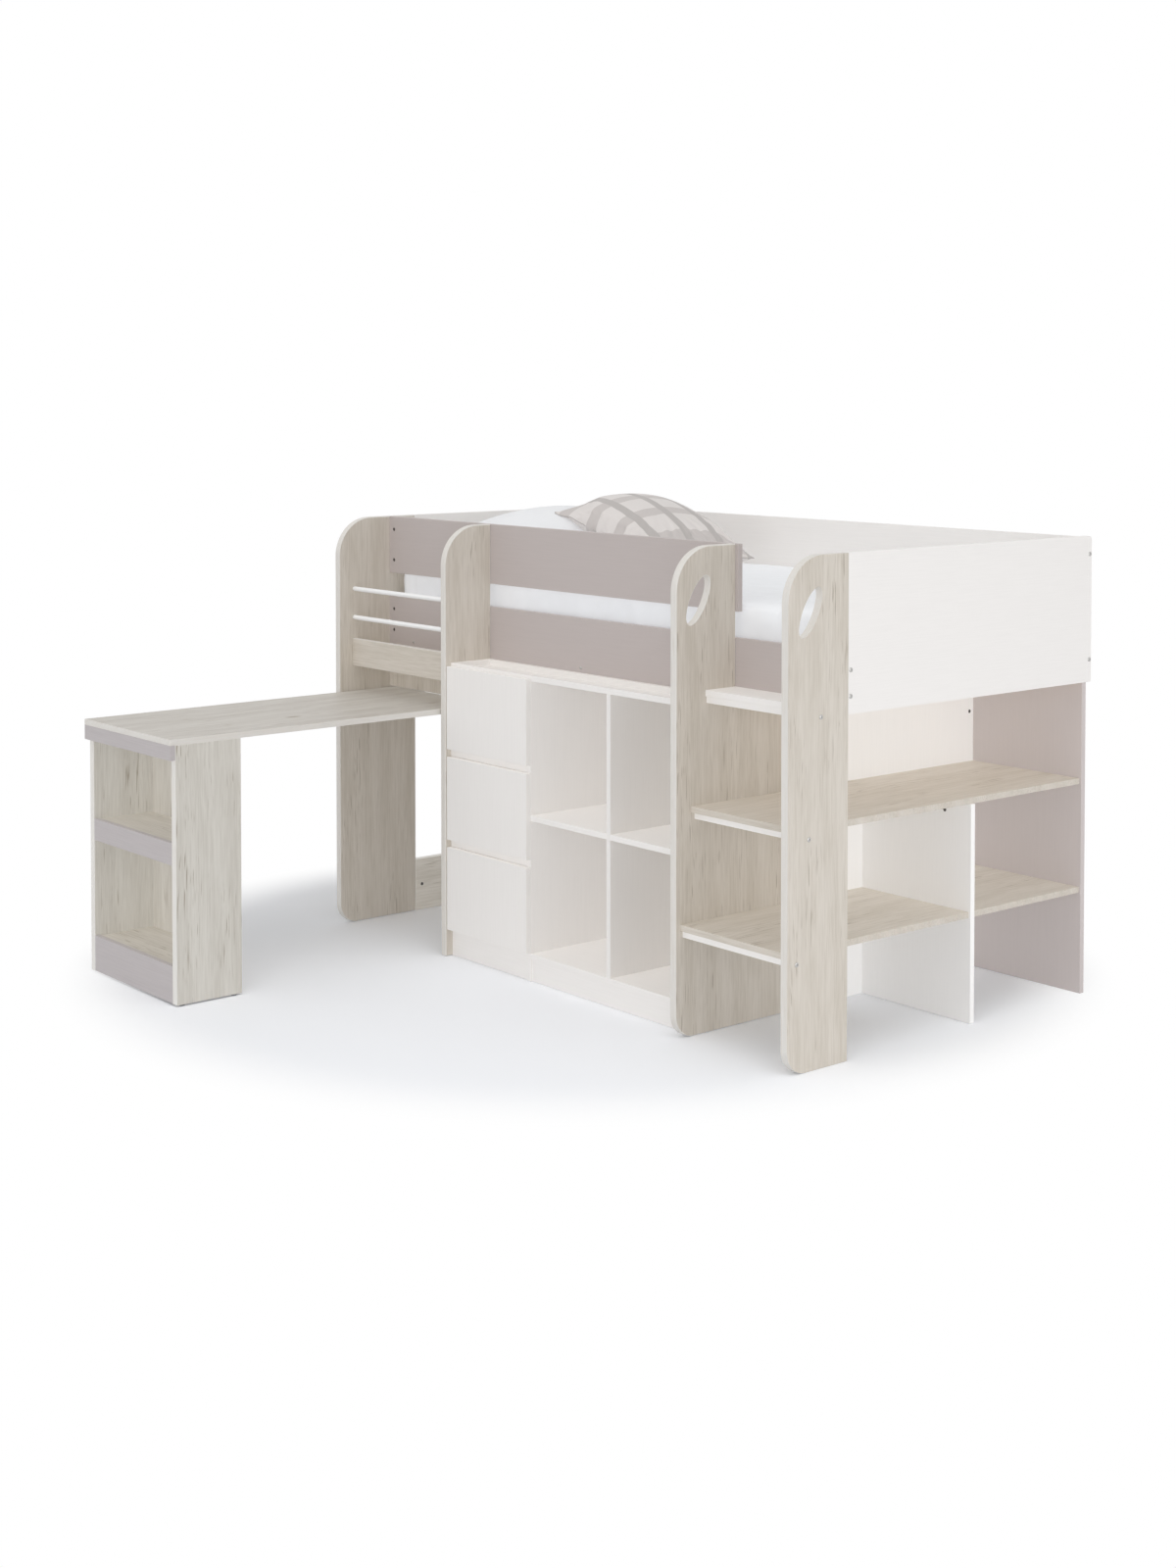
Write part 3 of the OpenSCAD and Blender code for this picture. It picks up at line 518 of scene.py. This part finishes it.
def from_work(work, name, materials=()):
    """A new smooth object from a bmesh, which is freed."""
    mesh = bpy.data.meshes.new(name)
    work.to_mesh(mesh)
    work.free()
    mesh.shade_smooth()
    return link(name, mesh, materials)


def welded(node):
    """A bmesh of a node with its points welded."""
    work = bmesh.new()
    work.from_mesh(frame["nodes"][node].data)
    bmesh.ops.remove_doubles(work, verts=work.verts, dist=WELD_REACH)
    return work


def flat_copy(node):
    """A bmesh of a node with its points welded and its flat faces merged."""
    work = welded(node)
    bmesh.ops.dissolve_limit(
        work, angle_limit=FLAT_ANGLE, verts=work.verts, edges=work.edges)
    return work


def corners_of(points):
    """The lowest and the highest corner of the box round some points."""
    return [Vector(pick(point.co[axis] for point in points) for axis in range(3))
            for pick in (min, max)]


def move_points(piece, places):
    """Puts the points of a piece in their new places."""
    piece.data.vertices.foreach_set("co", [value for place in places for value in place])
    piece.data.update()


def apply_modifiers(piece):
    """Keeps what the modifiers make of a piece as its own mesh."""
    bpy.context.view_layer.update()
    shape = piece.evaluated_get(bpy.context.evaluated_depsgraph_get())
    piece.data = bpy.data.meshes.new_from_object(shape)
    piece.modifiers.clear()
    piece.data.shade_smooth()


def body_of(node):
    return frame["nodes"][node]["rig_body"]


def stand_for(piece, node):
    """Lets a piece ride on the body of a node of the frame and hides that node."""
    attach(piece, body_of(node))
    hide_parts(node)


def soften(piece, arris, segments=2, edge_material=-1):
    """Rounds the sharp edges of a piece and keeps its flat faces flat."""
    rounding = piece.modifiers.new("arris", "BEVEL")
    rounding.width = arris
    rounding.segments = segments
    rounding.limit_method = "ANGLE"
    rounding.angle_limit = SHARP_ANGLE
    rounding.material = edge_material
    level = piece.modifiers.new("flat_faces", "WEIGHTED_NORMAL")
    level.weight = 100
    level.keep_sharp = True


# Boards

# Of each kind of edge: its setting, the share of it that is taken, and the bevel's segments
EDGES = {
    "board": ("arris", 1, 2),
    "panel": ("arris", 1, 3),
    "guard": ("arris", 3, 3),
    "thin": ("arris", 0.5, 2),
    "upright": ("upright_arris", 1, 3),
    "rail": ("upright_arris", 0.5, 2),
    "slat": ("upright_arris", 1, 2),
}


def dress_board(node, thin, face, edge=None, kind="board"):
    """A board: its two faces across the thin axis take one finish and its edges another."""
    work = flat_copy(node)
    for polygon in work.faces:
        is_face = abs(polygon.normal.dot(AXES[thin])) > FACE_SHARE
        polygon.material_index = 0 if is_face else 1
    piece = from_work(
        work, f"{node}_board", [board_material(face), board_material(edge or face)])
    setting, share, segments = EDGES[kind]
    arris = getattr(bpy.context.scene.board_settings, setting)
    soften(piece, arris * share, segments, edge_material=1)
    stand_for(piece, node)


class BoardDresser:
    """Shared by the operators that dress boards: each row names boards and their looks."""

    def execute(self, context):
        for nodes, *looks in self.rows:
            for node in nodes.split():
                dress_board(node, *looks)
        return {"FINISHED"}


class DressUprights(BoardDresser, bpy.types.Operator):
    """Dress the uprights, the rear leg and the left bottom rail"""

    bl_idname = "sleeper.dress_uprights"
    bl_label = "Dress uprights"

    rows = (
        ("left_upright storage_upright inner_ladder_upright outer_ladder_upright rear_left_leg",
         "x", "oak_z", "oak_edge_z", "upright"),
        ("left_bottom_rail", "x", "oak_y", "oak_edge_y", "rail"),
    )


class DressGuards(BoardDresser, bpy.types.Operator):
    """Dress the boards round the mattress and the lower panels"""

    bl_idname = "sleeper.dress_guards"
    bl_label = "Dress guard boards"

    rows = (
        ("front_guard_board front_side_rail", "y", "taupe_x", None, "guard"),
        ("rear_right_panel", "y", "taupe_z", None, "panel"),
        ("left_end_board right_end_board", "x", "white_y", None, "panel"),
        ("rear_board", "y", "white_x", None, "panel"),
        ("desk_bay_panel", "x", "white_z", None, "panel"),
    )


class DressBookcase(BoardDresser, bpy.types.Operator):
    """Dress the treads, their rails and the bookcase"""

    bl_idname = "sleeper.dress_bookcase"
    bl_label = "Dress ladder and bookcase"

    rows = (
        ("low_tread_shelf mid_tread_shelf lower_rear_shelf", "z", "oak_y", "oak_x"),
        ("top_step", "z", "white_x"),
        ("tread_rails", "y", "white_x"),
        ("bookcase_back_panel", "x", "white_z"),
        ("bookcase_divider", "y", "white_z"),
    )


class DressStorage(BoardDresser, bpy.types.Operator):
    """Dress the storage unit and its three drawers"""

    bl_idname = "sleeper.dress_storage"
    bl_label = "Dress storage unit"

    rows = (
        ("storage_gable cubby_divider", "x", "white_z"),
        ("storage_floor cubby_shelves storage_top_panel storage_tray_rails", "z", "white_x"),
        ("storage_back_panel", "y", "white_z"),
        ("storage_plinths drawer_rails", "y", "white_x"),
        ("top_drawer_front middle_drawer_front bottom_drawer_front", "y", "white_z"),
        ("top_drawer_box middle_drawer_box bottom_drawer_box", "z", "white_x"),
        ("top_drawer_bottom middle_drawer_bottom bottom_drawer_bottom",
         "z", "white_x", None, "thin"),
    )


class DressDesk(BoardDresser, bpy.types.Operator):
    """Dress the pull-out desk and its pedestal"""

    bl_idname = "sleeper.dress_desk"
    bl_label = "Dress desk"

    rows = (
        # The desk top takes the darker desk oak, whose darkness is painted shade.
        ("desk_top", "z", "desk_y", "oak_edge_y"),
        ("desk_bands", "y", "band_x"),
        # The pedestal takes the darker pedestal oak, whose darkness is painted shade.
        ("pedestal_gables", "x", "pedestal_z", "oak_edge_z"),
        ("pedestal_back", "y", "pedestal_z", "oak_edge_z"),
        ("pedestal_shelves", "z", "pedestal_x", "oak_edge_x"),
    )


class DressRack(BoardDresser, bpy.types.Operator):
    """Dress the book rack's boards"""

    bl_idname = "sleeper.dress_rack"
    bl_label = "Dress book rack"

    rows = (
        ("rack_front_rail", "y", "oak_x", "oak_edge_x"),
        ("rack_shelf", "z", "oak_x", "oak_edge_x"),
        ("rack_back_board", "y", "oak_z", "oak_edge_z"),
    )


class DressSlats(BoardDresser, bpy.types.Operator):
    """Dress the battens and the slats"""

    bl_idname = "sleeper.dress_slats"
    bl_label = "Dress slats"

    rows = (
        ("slat_battens", "z", "pine_x", None, "rail"),
        ("bed_slats", "z", "pine_y", None, "slat"),
    )


# Fasteners and fittings

def loose_solids(node):
    """The lowest and the highest corner of every separate solid of a node."""
    work = welded(node)
    waiting, corners = dict.fromkeys(work.verts), []
    while waiting:
        front, found = [waiting.popitem()[0]], []
        while front:
            point = front.pop()
            found.append(point)
            for edge in point.link_edges:
                other = edge.other_vert(point)
                if other in waiting:
                    del waiting[other]
                    front.append(other)
        corners.append(corners_of(found))
    work.free()
    return corners


def add_ring(work, centre, side, up, radius, count):
    """A ring of points round a centre, or one point where it has no radius."""
    turns = [math.tau * step / count for step in range(count if radius else 1)]
    return [work.verts.new(centre + (side * math.cos(turn) + up * math.sin(turn)) * radius)
            for turn in turns]


def bridge_rings(work, inner, outer):
    """The faces between two rings, either of which may be a single point."""
    for step in range(max(len(inner), len(outer))):
        corners = (
            inner[step % len(inner)], inner[(step + 1) % len(inner)],
            outer[(step + 1) % len(outer)], outer[step % len(outer)])
        work.faces.new(list(dict.fromkeys(corners)))


def add_turned(work, origin, axis, profile, sides=32):
    """A turned body whose outline is rows of (distance along the axis, radius)."""
    turn = axis.to_track_quat("Z", "Y").to_matrix()
    rings = [add_ring(work, origin + axis * along, turn.col[0], turn.col[1], radius, sides)
             for along, radius in profile]
    for inner, outer in zip(rings, rings[1:]):
        bridge_rings(work, inner, outer)


def hex_socket(radius, depth):
    """The rows that sink a drive socket into a head."""
    return [(0, radius), (-depth, radius * 0.92), (-depth, 0)]


def add_bolt(work, low, high, head):
    """A bolt or screw in the place of its plain solid, with its head on the outside."""
    size = high - low
    along = max(range(3), key=lambda axis: size[axis])
    outward = AXES["xyz"[along]] * (1 if (low + high)[along] > 0 else -1)
    if along == 1:
        outward = -AXES["y"]
    length, radius = size[along], min(size) / 2
    shank = radius / 2
    add_turned(work, (low + high) / 2 + outward * length / 2, outward, [
        (-length, 0), (-length, shank * 0.7), (-length + shank, shank), (-head, shank),
        (-head, radius), (-head * 0.45, radius), (-head * 0.12, radius * 0.88),
        (0, radius * 0.7), *hex_socket(radius * 0.46, head * 0.85)])


def add_barrel(work, low, high, usual_length):
    """A barrel nut in the place of its plain solid, along the side with the usual length."""
    size = high - low
    along = min(range(3), key=lambda axis: abs(size[axis] - usual_length))
    outward = AXES["xyz"[along]] * (-1 if along == 1 else 1)
    length = size[along]
    radius = min(size[other] for other in range(3) if other != along) / 2
    add_turned(work, (low + high) / 2 + outward * length / 2, outward, [
        (-length, 0), (-length, radius), (-radius * 0.1, radius), (0, radius * 0.9),
        *hex_socket(radius * 0.55, radius * 0.5)])


class MakeFasteners(bpy.types.Operator):
    """Make the bolts, screws and barrel nuts with their drives"""

    bl_idname = "sleeper.make_fasteners"
    bl_label = "Make fasteners"

    def execute(self, context):
        fittings = context.scene.fitting_settings
        steel = metal_finish("zinc", fittings.steel, 0.34, 1.0)
        barrel = metal_finish("dark_zinc", fittings.barrel, 0.5, 0.85)
        for node, name, material, add_piece, size in (
                ("assembly_bolts", "socket_bolts", steel, add_bolt, fittings.head_height),
                ("barrel_nuts", "socket_barrels", barrel, add_barrel, fittings.barrel_length)):
            work = bmesh.new()
            for low, high in loose_solids(node):
                add_piece(work, low, high, size)
            bmesh.ops.recalc_face_normals(work, faces=work.faces)
            piece = from_work(work, name, [material])
            piece.data.set_sharp_from_angle(angle=SHARP_ANGLE)
            stand_for(piece, node)
        return {"FINISHED"}


class MakeFittings(bpy.types.Operator):
    """Make the rods, tracks, runners and glides"""

    bl_idname = "sleeper.make_fittings"
    bl_label = "Make fittings"

    def execute(self, context):
        fittings = context.scene.fitting_settings
        coat = metal_finish("powder_coat", fittings.rod, 0.42, 0.0, 900, 0.12)
        steel = metal_finish("rolled_steel", fittings.steel, 0.36, 1.0, 60)
        plastic = metal_finish("moulded_plastic", fittings.plastic, 0.55, 0.0, 700, 0.1)
        for nodes, material, arris, segments in (
                ("rack_rods", coat, fittings.rod_arris, 3),
                ("drawer_runners desk_tracks top_drawer_slides middle_drawer_slides "
                 "bottom_drawer_slides", steel, fittings.strip_arris, 2),
                ("desk_glides", plastic, fittings.strip_arris, 2)):
            for node in nodes.split():
                piece = from_work(flat_copy(node), f"{node}_formed", [material])
                soften(piece, arris, segments)
                stand_for(piece, node)
        return {"FINISHED"}


# Bedding

# Of each set of the lattice's bands: its turn, its width as a share of the repeat and its colour
LATTICE_BANDS = ((3, 0.34, "cushion_mid"), (93, 0.24, "cushion_dark"))
BAND_BLUR, BAND_WOBBLE = 0.01, 0.012


def lattice_colour(tree, place):
    """A plain lattice: two tones of band cross on a pale ground."""
    bedding = bpy.context.scene.bedding_settings
    wobble = maths(tree, "MULTIPLY", noise_value(tree, place, 11), BAND_WOBBLE)
    heather = noise_value(tree, place, 700, 1.0)
    colour = blend_colours(
        tree, maths(tree, "MULTIPLY", heather, 0.3),
        rgba(bedding.cushion_light), rgba(bedding.cushion_mid))
    for turn, width, tone in LATTICE_BANDS:
        parts = add(tree, "ShaderNodeSeparateXYZ", {
            0: mapped(tree, place, rotation=(0, 0, math.radians(turn)))})
        across = maths(tree, "ADD", parts.outputs["X"], wobble)
        repeat = maths(tree, "FRACT", maths(tree, "DIVIDE", across, bedding.lattice))
        from_band = maths(tree, "ABSOLUTE", maths(tree, "SUBTRACT", repeat, 0.5))
        band = spread(
            tree, from_band, width / 2, width / 2 + BAND_BLUR, out_low=1.0, out_high=0.0)
        colour = blend_colours(tree, band, colour, rgba(getattr(bedding, tone)))
    return colour


def soft_copy(node, levels):
    """A smooth quad mesh in the form of a soft node."""
    work = welded(node)
    bmesh.ops.join_triangles(
        work, faces=work.faces, angle_face_threshold=math.pi, angle_shape_threshold=math.pi)
    piece = from_work(work, f"{node}_cover")
    piece.modifiers.new("round", "SUBSURF").levels = levels
    apply_modifiers(piece)
    return piece


CLOTH = {
    "quality": 3, "mass": 0.25, "tension_stiffness": 18, "compression_stiffness": 18,
    "shear_stiffness": 6, "bending_stiffness": 0.15, "air_damping": 3, "use_pressure": True,
}
FILLING_STEPS = 16
SEAM_REACH = 0.05  # width of the edge that the seam draws in
RESTS_BELOW = -0.1  # a cover's faces that look down by this much lie on the bed
CROWN_SHARE = 0.25  # what lies above this share of the height settles


def plump(piece, bedding):
    """Fills a cover by cloth simulation: pressure from inside, its sewn edge drawn in."""
    scene = bpy.context.scene
    points = piece.data.vertices
    start = [point.co.copy() for point in points]
    low, high = corners_of(points)
    middle, half = (low + high) / 2, (high - low) / 2
    sewn = piece.vertex_groups.new(name="sewn_edge")
    for place, point in enumerate(start):
        inset = min(half.x - abs(point.x - middle.x), half.y - abs(point.y - middle.y))
        sewn.add([place], max(0.0, 1 - inset / SEAM_REACH), "REPLACE")
    cloth = piece.modifiers.new("filling", "CLOTH")
    cloth.collision_settings.use_collision = False
    settings = cloth.settings
    for name, value in CLOTH.items():
        setattr(settings, name, value)
    settings.uniform_pressure_force = bedding.pressure
    settings.effector_weights.gravity = 0
    settings.vertex_group_shrink = sewn.name
    settings.shrink_min = -bedding.seam_gather / 2
    settings.shrink_max = bedding.seam_gather
    for step in range(FILLING_STEPS):
        scene.frame_set(1 + step)
    shape = piece.evaluated_get(bpy.context.evaluated_depsgraph_get())
    moved = [point.co.copy() for point in shape.data.vertices]
    piece.modifiers.remove(cloth)
    scene.frame_set(1)
    places = []
    height = high.z - low.z
    for point, old, new in zip(points, start, moved):
        move = new - old
        if move.length > bedding.cushion_give:
            move *= bedding.cushion_give / move.length
        if point.normal.z < RESTS_BELOW:
            move.z = max(0.0, move.z)
        place = old + move
        above = max(0.0, (place.z - low.z) / height - CROWN_SHARE)
        place.z -= height * bedding.settle * above
        places.append(place)
    move_points(piece, places)


def seam_path(piece, stations=360):
    """The sewn edge of a cover: its farthest point in each direction round the middle."""
    low, high = corners_of(piece.data.vertices)
    middle = (low + high) / 2
    farthest = {}
    for point in piece.data.vertices:
        offset = point.co - middle
        station = int(math.atan2(offset.y, offset.x) / math.tau % 1 * stations)
        reach = math.hypot(offset.x, offset.y)
        if reach > farthest.get(station, (0, None))[0]:
            farthest[station] = (reach, point.co.copy())
    path = [farthest[station][1] for station in sorted(farthest)]
    return [(path[k - 1] + point * 2 + path[(k + 1) % len(path)]) / 4
            for k, point in enumerate(path)]


PUCKER_RISE, SEAM_RISE = 0.6, 0.1  # where the puckers end and where they are highest


def gather_edges(piece, path, height):
    """Small puckers that run into the seam of a cover."""
    low, high = corners_of(piece.data.vertices)
    middle = (low + high) / 2
    seam = sum(point.z for point in path) / len(path)
    places = []
    for vertex in piece.data.vertices:
        point = vertex.co
        reach = (high.z - seam) if point.z > seam else (seam - low.z)
        rise = abs(point.z - seam) / reach
        weight = max(0.0, 1 - rise / PUCKER_RISE) * min(1.0, rise / SEAM_RISE)
        around = math.atan2(point.y - middle.y, point.x - middle.x)
        ridge = noise.noise(Vector((math.cos(around) * 9, math.sin(around) * 9, rise * 1.5)))
        places.append(point + vertex.normal * height * weight * ridge)
    move_points(piece, places)


def sew_piping(path, radius, material, node, sides=8):
    """A thin cord that follows the seam of a cover."""
    work = bmesh.new()
    rings = []
    for k, point in enumerate(path):
        along = (path[(k + 1) % len(path)] - path[k - 1]).normalized()
        out = along.cross(AXES["z"]).normalized()
        rings.append(add_ring(work, point, out, out.cross(along), radius, sides))
    for k, ring in enumerate(rings):
        bridge_rings(work, ring, rings[(k + 1) % len(rings)])
    bmesh.ops.recalc_face_normals(work, faces=work.faces)
    cord = from_work(work, f"{node}_piping", [material])
    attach(cord, body_of(node))


PULL_SCALE, FINE_SCALE = Vector((5, 5, 2)), Vector((23, 23, 9))
# Shares of the creases' height, and how far the sheet is sunk to make room for them
PULLS, FINE, FOLDS, GATHERS, SUNK = 0.45, 0.2, 0.35, 0.8, 0.4
GATHER_REACH = 0.16  # how far a corner's gathers run into the sheet
UNDERSIDE = -0.5  # what looks down by this much stays flat


def crease_sheet(piece, height):
    """Soft creases of a fitted sheet: gathers at the corners and faint pulls between them."""
    low, high = corners_of(piece.data.vertices)
    middle, half = (low + high) / 2, (high - low) / 2
    places = []
    for vertex in piece.data.vertices:
        point = vertex.co
        if vertex.normal.z < UNDERSIDE:
            places.append(point.copy())
            continue
        corner = math.hypot(
            half.x - abs(point.x - middle.x), half.y - abs(point.y - middle.y))
        around = math.atan2(point.y - middle.y, point.x - middle.x)
        ridge = 1 - abs(noise.noise(Vector((around * 60, point.z * 3, corner * 6)))) * 2
        swept = Vector((point.x * 4 + point.y * 3, point.y * 11 - point.x * 5, point.z * 4))
        fold = (1 - abs(noise.noise(swept)) * 2.2) ** 3
        lift = (PULLS * noise.noise(point * PULL_SCALE) + FINE * noise.noise(point * FINE_SCALE)
                + FOLDS * max(0.0, fold) + GATHERS * ridge * math.exp(-corner / GATHER_REACH))
        places.append(point + vertex.normal * height * (lift - SUNK))
    move_points(piece, places)


class MakeMattress(bpy.types.Operator):
    """Make the mattress in its fitted sheet"""

    bl_idname = "sleeper.make_mattress"
    bl_label = "Make mattress"

    def execute(self, context):
        bedding = context.scene.bedding_settings
        piece = from_work(welded("mattress"), "fitted_mattress")
        remesh = piece.modifiers.new("even", "REMESH")
        remesh.mode = "VOXEL"
        remesh.voxel_size = bedding.sheet_mesh
        smooth = piece.modifiers.new("soft", "SMOOTH")
        smooth.factor, smooth.iterations = 0.5, 6
        apply_modifiers(piece)
        crease_sheet(piece, bedding.sheet_crease)
        piece.data.materials.append(cloth_finish("fitted_sheet", bedding.sheet))
        stand_for(piece, "mattress")
        return {"FINISHED"}


class MakePillows(bpy.types.Operator):
    """Make the bed pillow and the scatter cushion"""

    bl_idname = "sleeper.make_pillows"
    bl_label = "Make pillows"

    def execute(self, context):
        bedding = context.scene.bedding_settings
        pillow = cloth_finish("pillow_cotton", bedding.pillow)
        lattice = cloth_finish("lattice_cotton", pattern=lattice_colour)
        piping = cloth_finish("piping_cotton", bedding.cushion_dark)
        for node, cover, edge in (
                ("bed_pillow", pillow, pillow), ("scatter_cushion", lattice, piping)):
            piece = soft_copy(node, 2)
            plump(piece, bedding)
            piece.modifiers.new("smooth", "SUBSURF").levels = 1
            apply_modifiers(piece)
            piece.data.materials.append(cover)
            path = seam_path(piece)
            gather_edges(piece, path, bedding.pucker)
            sew_piping(path, bedding.piping, edge, node)
            stand_for(piece, node)
        return {"FINISHED"}


# Stage

class BuildStage(bpy.types.Operator):
    """Build the floor, the light and the camera"""

    bl_idname = "sleeper.build_stage"
    bl_label = "Build stage"

    def execute(self, context):
        studio = context.scene.studio_settings
        build_camera(context.scene, studio)
        build_floor(studio)
        build_world(context.scene, studio)
        build_lamps(context.scene, studio)
        context.scene.view_settings.view_transform = "Standard"
        return {"FINISHED"}


def build_camera(scene, studio):
    data = bpy.data.cameras.new("photo_camera")
    data.sensor_width = 36
    data.lens = studio.lens
    data.shift_y = studio.shift
    data.clip_end = 60
    camera = bpy.data.objects.new("photo_camera", data)
    camera.location = studio.position
    camera.rotation_euler = (math.radians(90) - studio.pitch, 0, studio.yaw)
    scene.collection.objects.link(camera)
    scene.camera = camera


FLOOR_HALF = 14.0  # half the floor's width
FLOOR_GAP = 0.0005  # so that the feet don't share a plane with the floor


def build_floor(studio):
    """A pale floor that keeps the shadows and turns plain white away from the bed."""
    low, high = -FLOOR_HALF, FLOOR_HALF
    mesh = bpy.data.meshes.new("studio_floor")
    mesh.from_pydata(
        [(low, low, 0), (high, low, 0), (high, high, 0), (low, high, 0)], [], [(0, 1, 2, 3)])
    material, tree, shader, place = blank_material("studio_floor", 0.8, specular=0.1)
    feed(tree, shader, {"Base Color": rgba(studio.floor)})
    glow = add(tree, "ShaderNodeEmission", {"Strength": studio.floor_glow})
    white = add(tree, "ShaderNodeEmission", {"Strength": 1.0})
    lit = add(tree, "ShaderNodeAddShader", {0: shader.outputs[0], 1: glow.outputs[0]})
    distance = add(
        tree, "ShaderNodeVectorMath",
        {0: mapped(tree, place, (1, 1, 0), location=studio.fade_offset)}, operation="LENGTH")
    fade = spread(tree, distance.outputs["Value"], studio.fade_start, studio.fade_end)
    near = mix_shaders(tree, fade, lit, white)
    seen = mix_shaders(tree, seen_rays(tree), shader, near)
    out = next(n for n in tree.nodes if n.type == "OUTPUT_MATERIAL")
    feed(tree, out, {"Surface": seen.outputs[0]})
    floor = link("studio_floor", mesh, [material])
    floor.location.z = -FLOOR_GAP


def seen_rays(tree):
    """1 for rays from the camera, reflections and glass, and 0 for rays that light things."""
    path = add(tree, "ShaderNodeLightPath").outputs
    rays = maths(tree, "MAXIMUM", path["Is Camera Ray"], path["Is Glossy Ray"])
    return maths(tree, "MAXIMUM", rays, path["Is Transmission Ray"])


def build_world(scene, studio):
    """Light from all round, which the camera and reflections see as plain white."""
    world = bpy.data.worlds.new("studio")
    world.use_nodes = True
    tree = world.node_tree
    tree.nodes.clear()
    lit, seen = (
        add(tree, "ShaderNodeBackground", {"Color": (1, 1, 1, 1), "Strength": strength})
        for strength in (studio.world_level, 1.0))
    mix = mix_shaders(tree, seen_rays(tree), lit, seen)
    add(tree, "ShaderNodeOutputWorld", {"Surface": mix.outputs[0]})
    scene.world = world


# Of each large lamp: its size, its place and where it aims
LAMPS = {
    "key_lamp": ((3.0, 2.2), (4.6, -3.9, 1.5), (0, 0, 0.6)),
    "front_lamp": ((5.0, 1.8), (-0.8, -5.0, 1.0), (-0.4, 0, 0.6)),
    "foot_lamp": ((4.0, 1.6), (4.8, 0.4, 0.9), (0, 0.3, 0.6)),
    "top_lamp": ((3.6, 3.6), (1.7, -1.4, 4.6), (0.3, -0.2, 0)),
}
# The way that the light of each fill goes
FILLS = {
    "down_fill": (-0.15, 0.25, -1.0),
    "side_fill": (-1.0, 0.35, -0.12),
    "front_fill": (0.1, 1.0, -0.15),
    "bay_fill": (-1.0, 0.62, -0.2),
}
# What a light is limited to, or what it leaves out
LIMITS = {
    "top_lamp": ("INCLUDE", "studio_floor"),
    "key_lamp": ("EXCLUDE", "pedestal_gables_board bookcase_back_panel_board "
                            "bookcase_divider_board cubby_divider_board"),
    "foot_lamp": ("EXCLUDE", "pedestal_gables_board"),
    "down_fill": ("EXCLUDE", "studio_floor"),
    "side_fill": ("EXCLUDE", "studio_floor"),
    "front_fill": ("EXCLUDE", "studio_floor bookcase_divider_board"),
    "bay_fill": ("INCLUDE", "bookcase_back_panel_board bookcase_divider_board "
                            "left_bottom_rail_board pedestal_back_board "
                            "pedestal_gables_board rear_right_panel_board"),
}


def place_lamp(scene, data, place, towards):
    """Hangs a light, turns it and limits what it lights."""
    lamp = bpy.data.objects.new(data.name, data)
    lamp.location = place
    lamp.rotation_euler = towards.to_track_quat("-Z", "Y").to_euler()
    scene.collection.objects.link(lamp)
    if data.name not in LIMITS:
        return
    state, names = LIMITS[data.name]
    receivers = bpy.data.collections.new(f"{data.name}_receivers")
    for number, name in enumerate(names.split()):
        receivers.objects.link(bpy.data.objects[name])
        receivers.collection_objects[number].light_linking.link_state = state
    lamp.light_linking.receiver_collection = receivers


def build_lamps(scene, studio):
    """Large soft lamps, most of them low, and shadowless fills for the bays."""
    for name, (size, place, aim) in LAMPS.items():
        data = bpy.data.lights.new(name, "AREA")
        data.energy = getattr(studio, name)
        data.shape = "RECTANGLE"
        data.size, data.size_y = size
        place_lamp(scene, data, place, Vector(aim) - Vector(place))
    for name, towards in FILLS.items():
        data = bpy.data.lights.new(name, "SUN")
        data.energy = getattr(studio, name)
        data.angle = studio.fill_spread
        data.use_shadow = False
        data.specular_factor = 0
        if name == "bay_fill":
            data.color = studio.bay_colour
        place_lamp(scene, data, (0, 0, 0), Vector(towards))


# Panel and registration

SETTINGS = {
    "board_settings": BoardSettings,
    "fitting_settings": FittingSettings,
    "bedding_settings": BeddingSettings,
    "studio_settings": StudioSettings,
}
OPERATORS = (
    DressUprights, DressGuards, DressBookcase, DressStorage, DressDesk, DressRack, DressSlats,
    MakeFasteners, MakeFittings, MakeMattress, MakePillows, BuildStage,
)


class SleeperPanel(bpy.types.Panel):
    """Sizes, colours and steps of the mid sleeper."""

    bl_idname = "VIEW3D_PT_mid_sleeper"
    bl_label = "Mid sleeper"
    bl_space_type = "VIEW_3D"
    bl_region_type = "UI"
    bl_category = "Mid sleeper"

    def draw(self, context):
        for group in SETTINGS:
            settings = getattr(context.scene, group)
            for name in settings.__annotations__:
                self.layout.prop(settings, name)
        for operator in OPERATORS:
            self.layout.operator(operator.bl_idname)


CLASSES = (*SETTINGS.values(), *OPERATORS, SleeperPanel)


def register():
    for kind in CLASSES:
        bpy.utils.register_class(kind)
    for name, settings in SETTINGS.items():
        setattr(bpy.types.Scene, name, PointerProperty(type=settings))


def unregister():
    for name in SETTINGS:
        delattr(bpy.types.Scene, name)
    for kind in reversed(CLASSES):
        bpy.utils.unregister_class(kind)


def main():
    register()
    for operator in OPERATORS:
        name = operator.bl_idname.split(".")[1]
        if getattr(bpy.ops.sleeper, name)() != {"FINISHED"}:
            raise RuntimeError(f"{operator.bl_label} didn't finish")


if __name__ == "__main__":
    main()
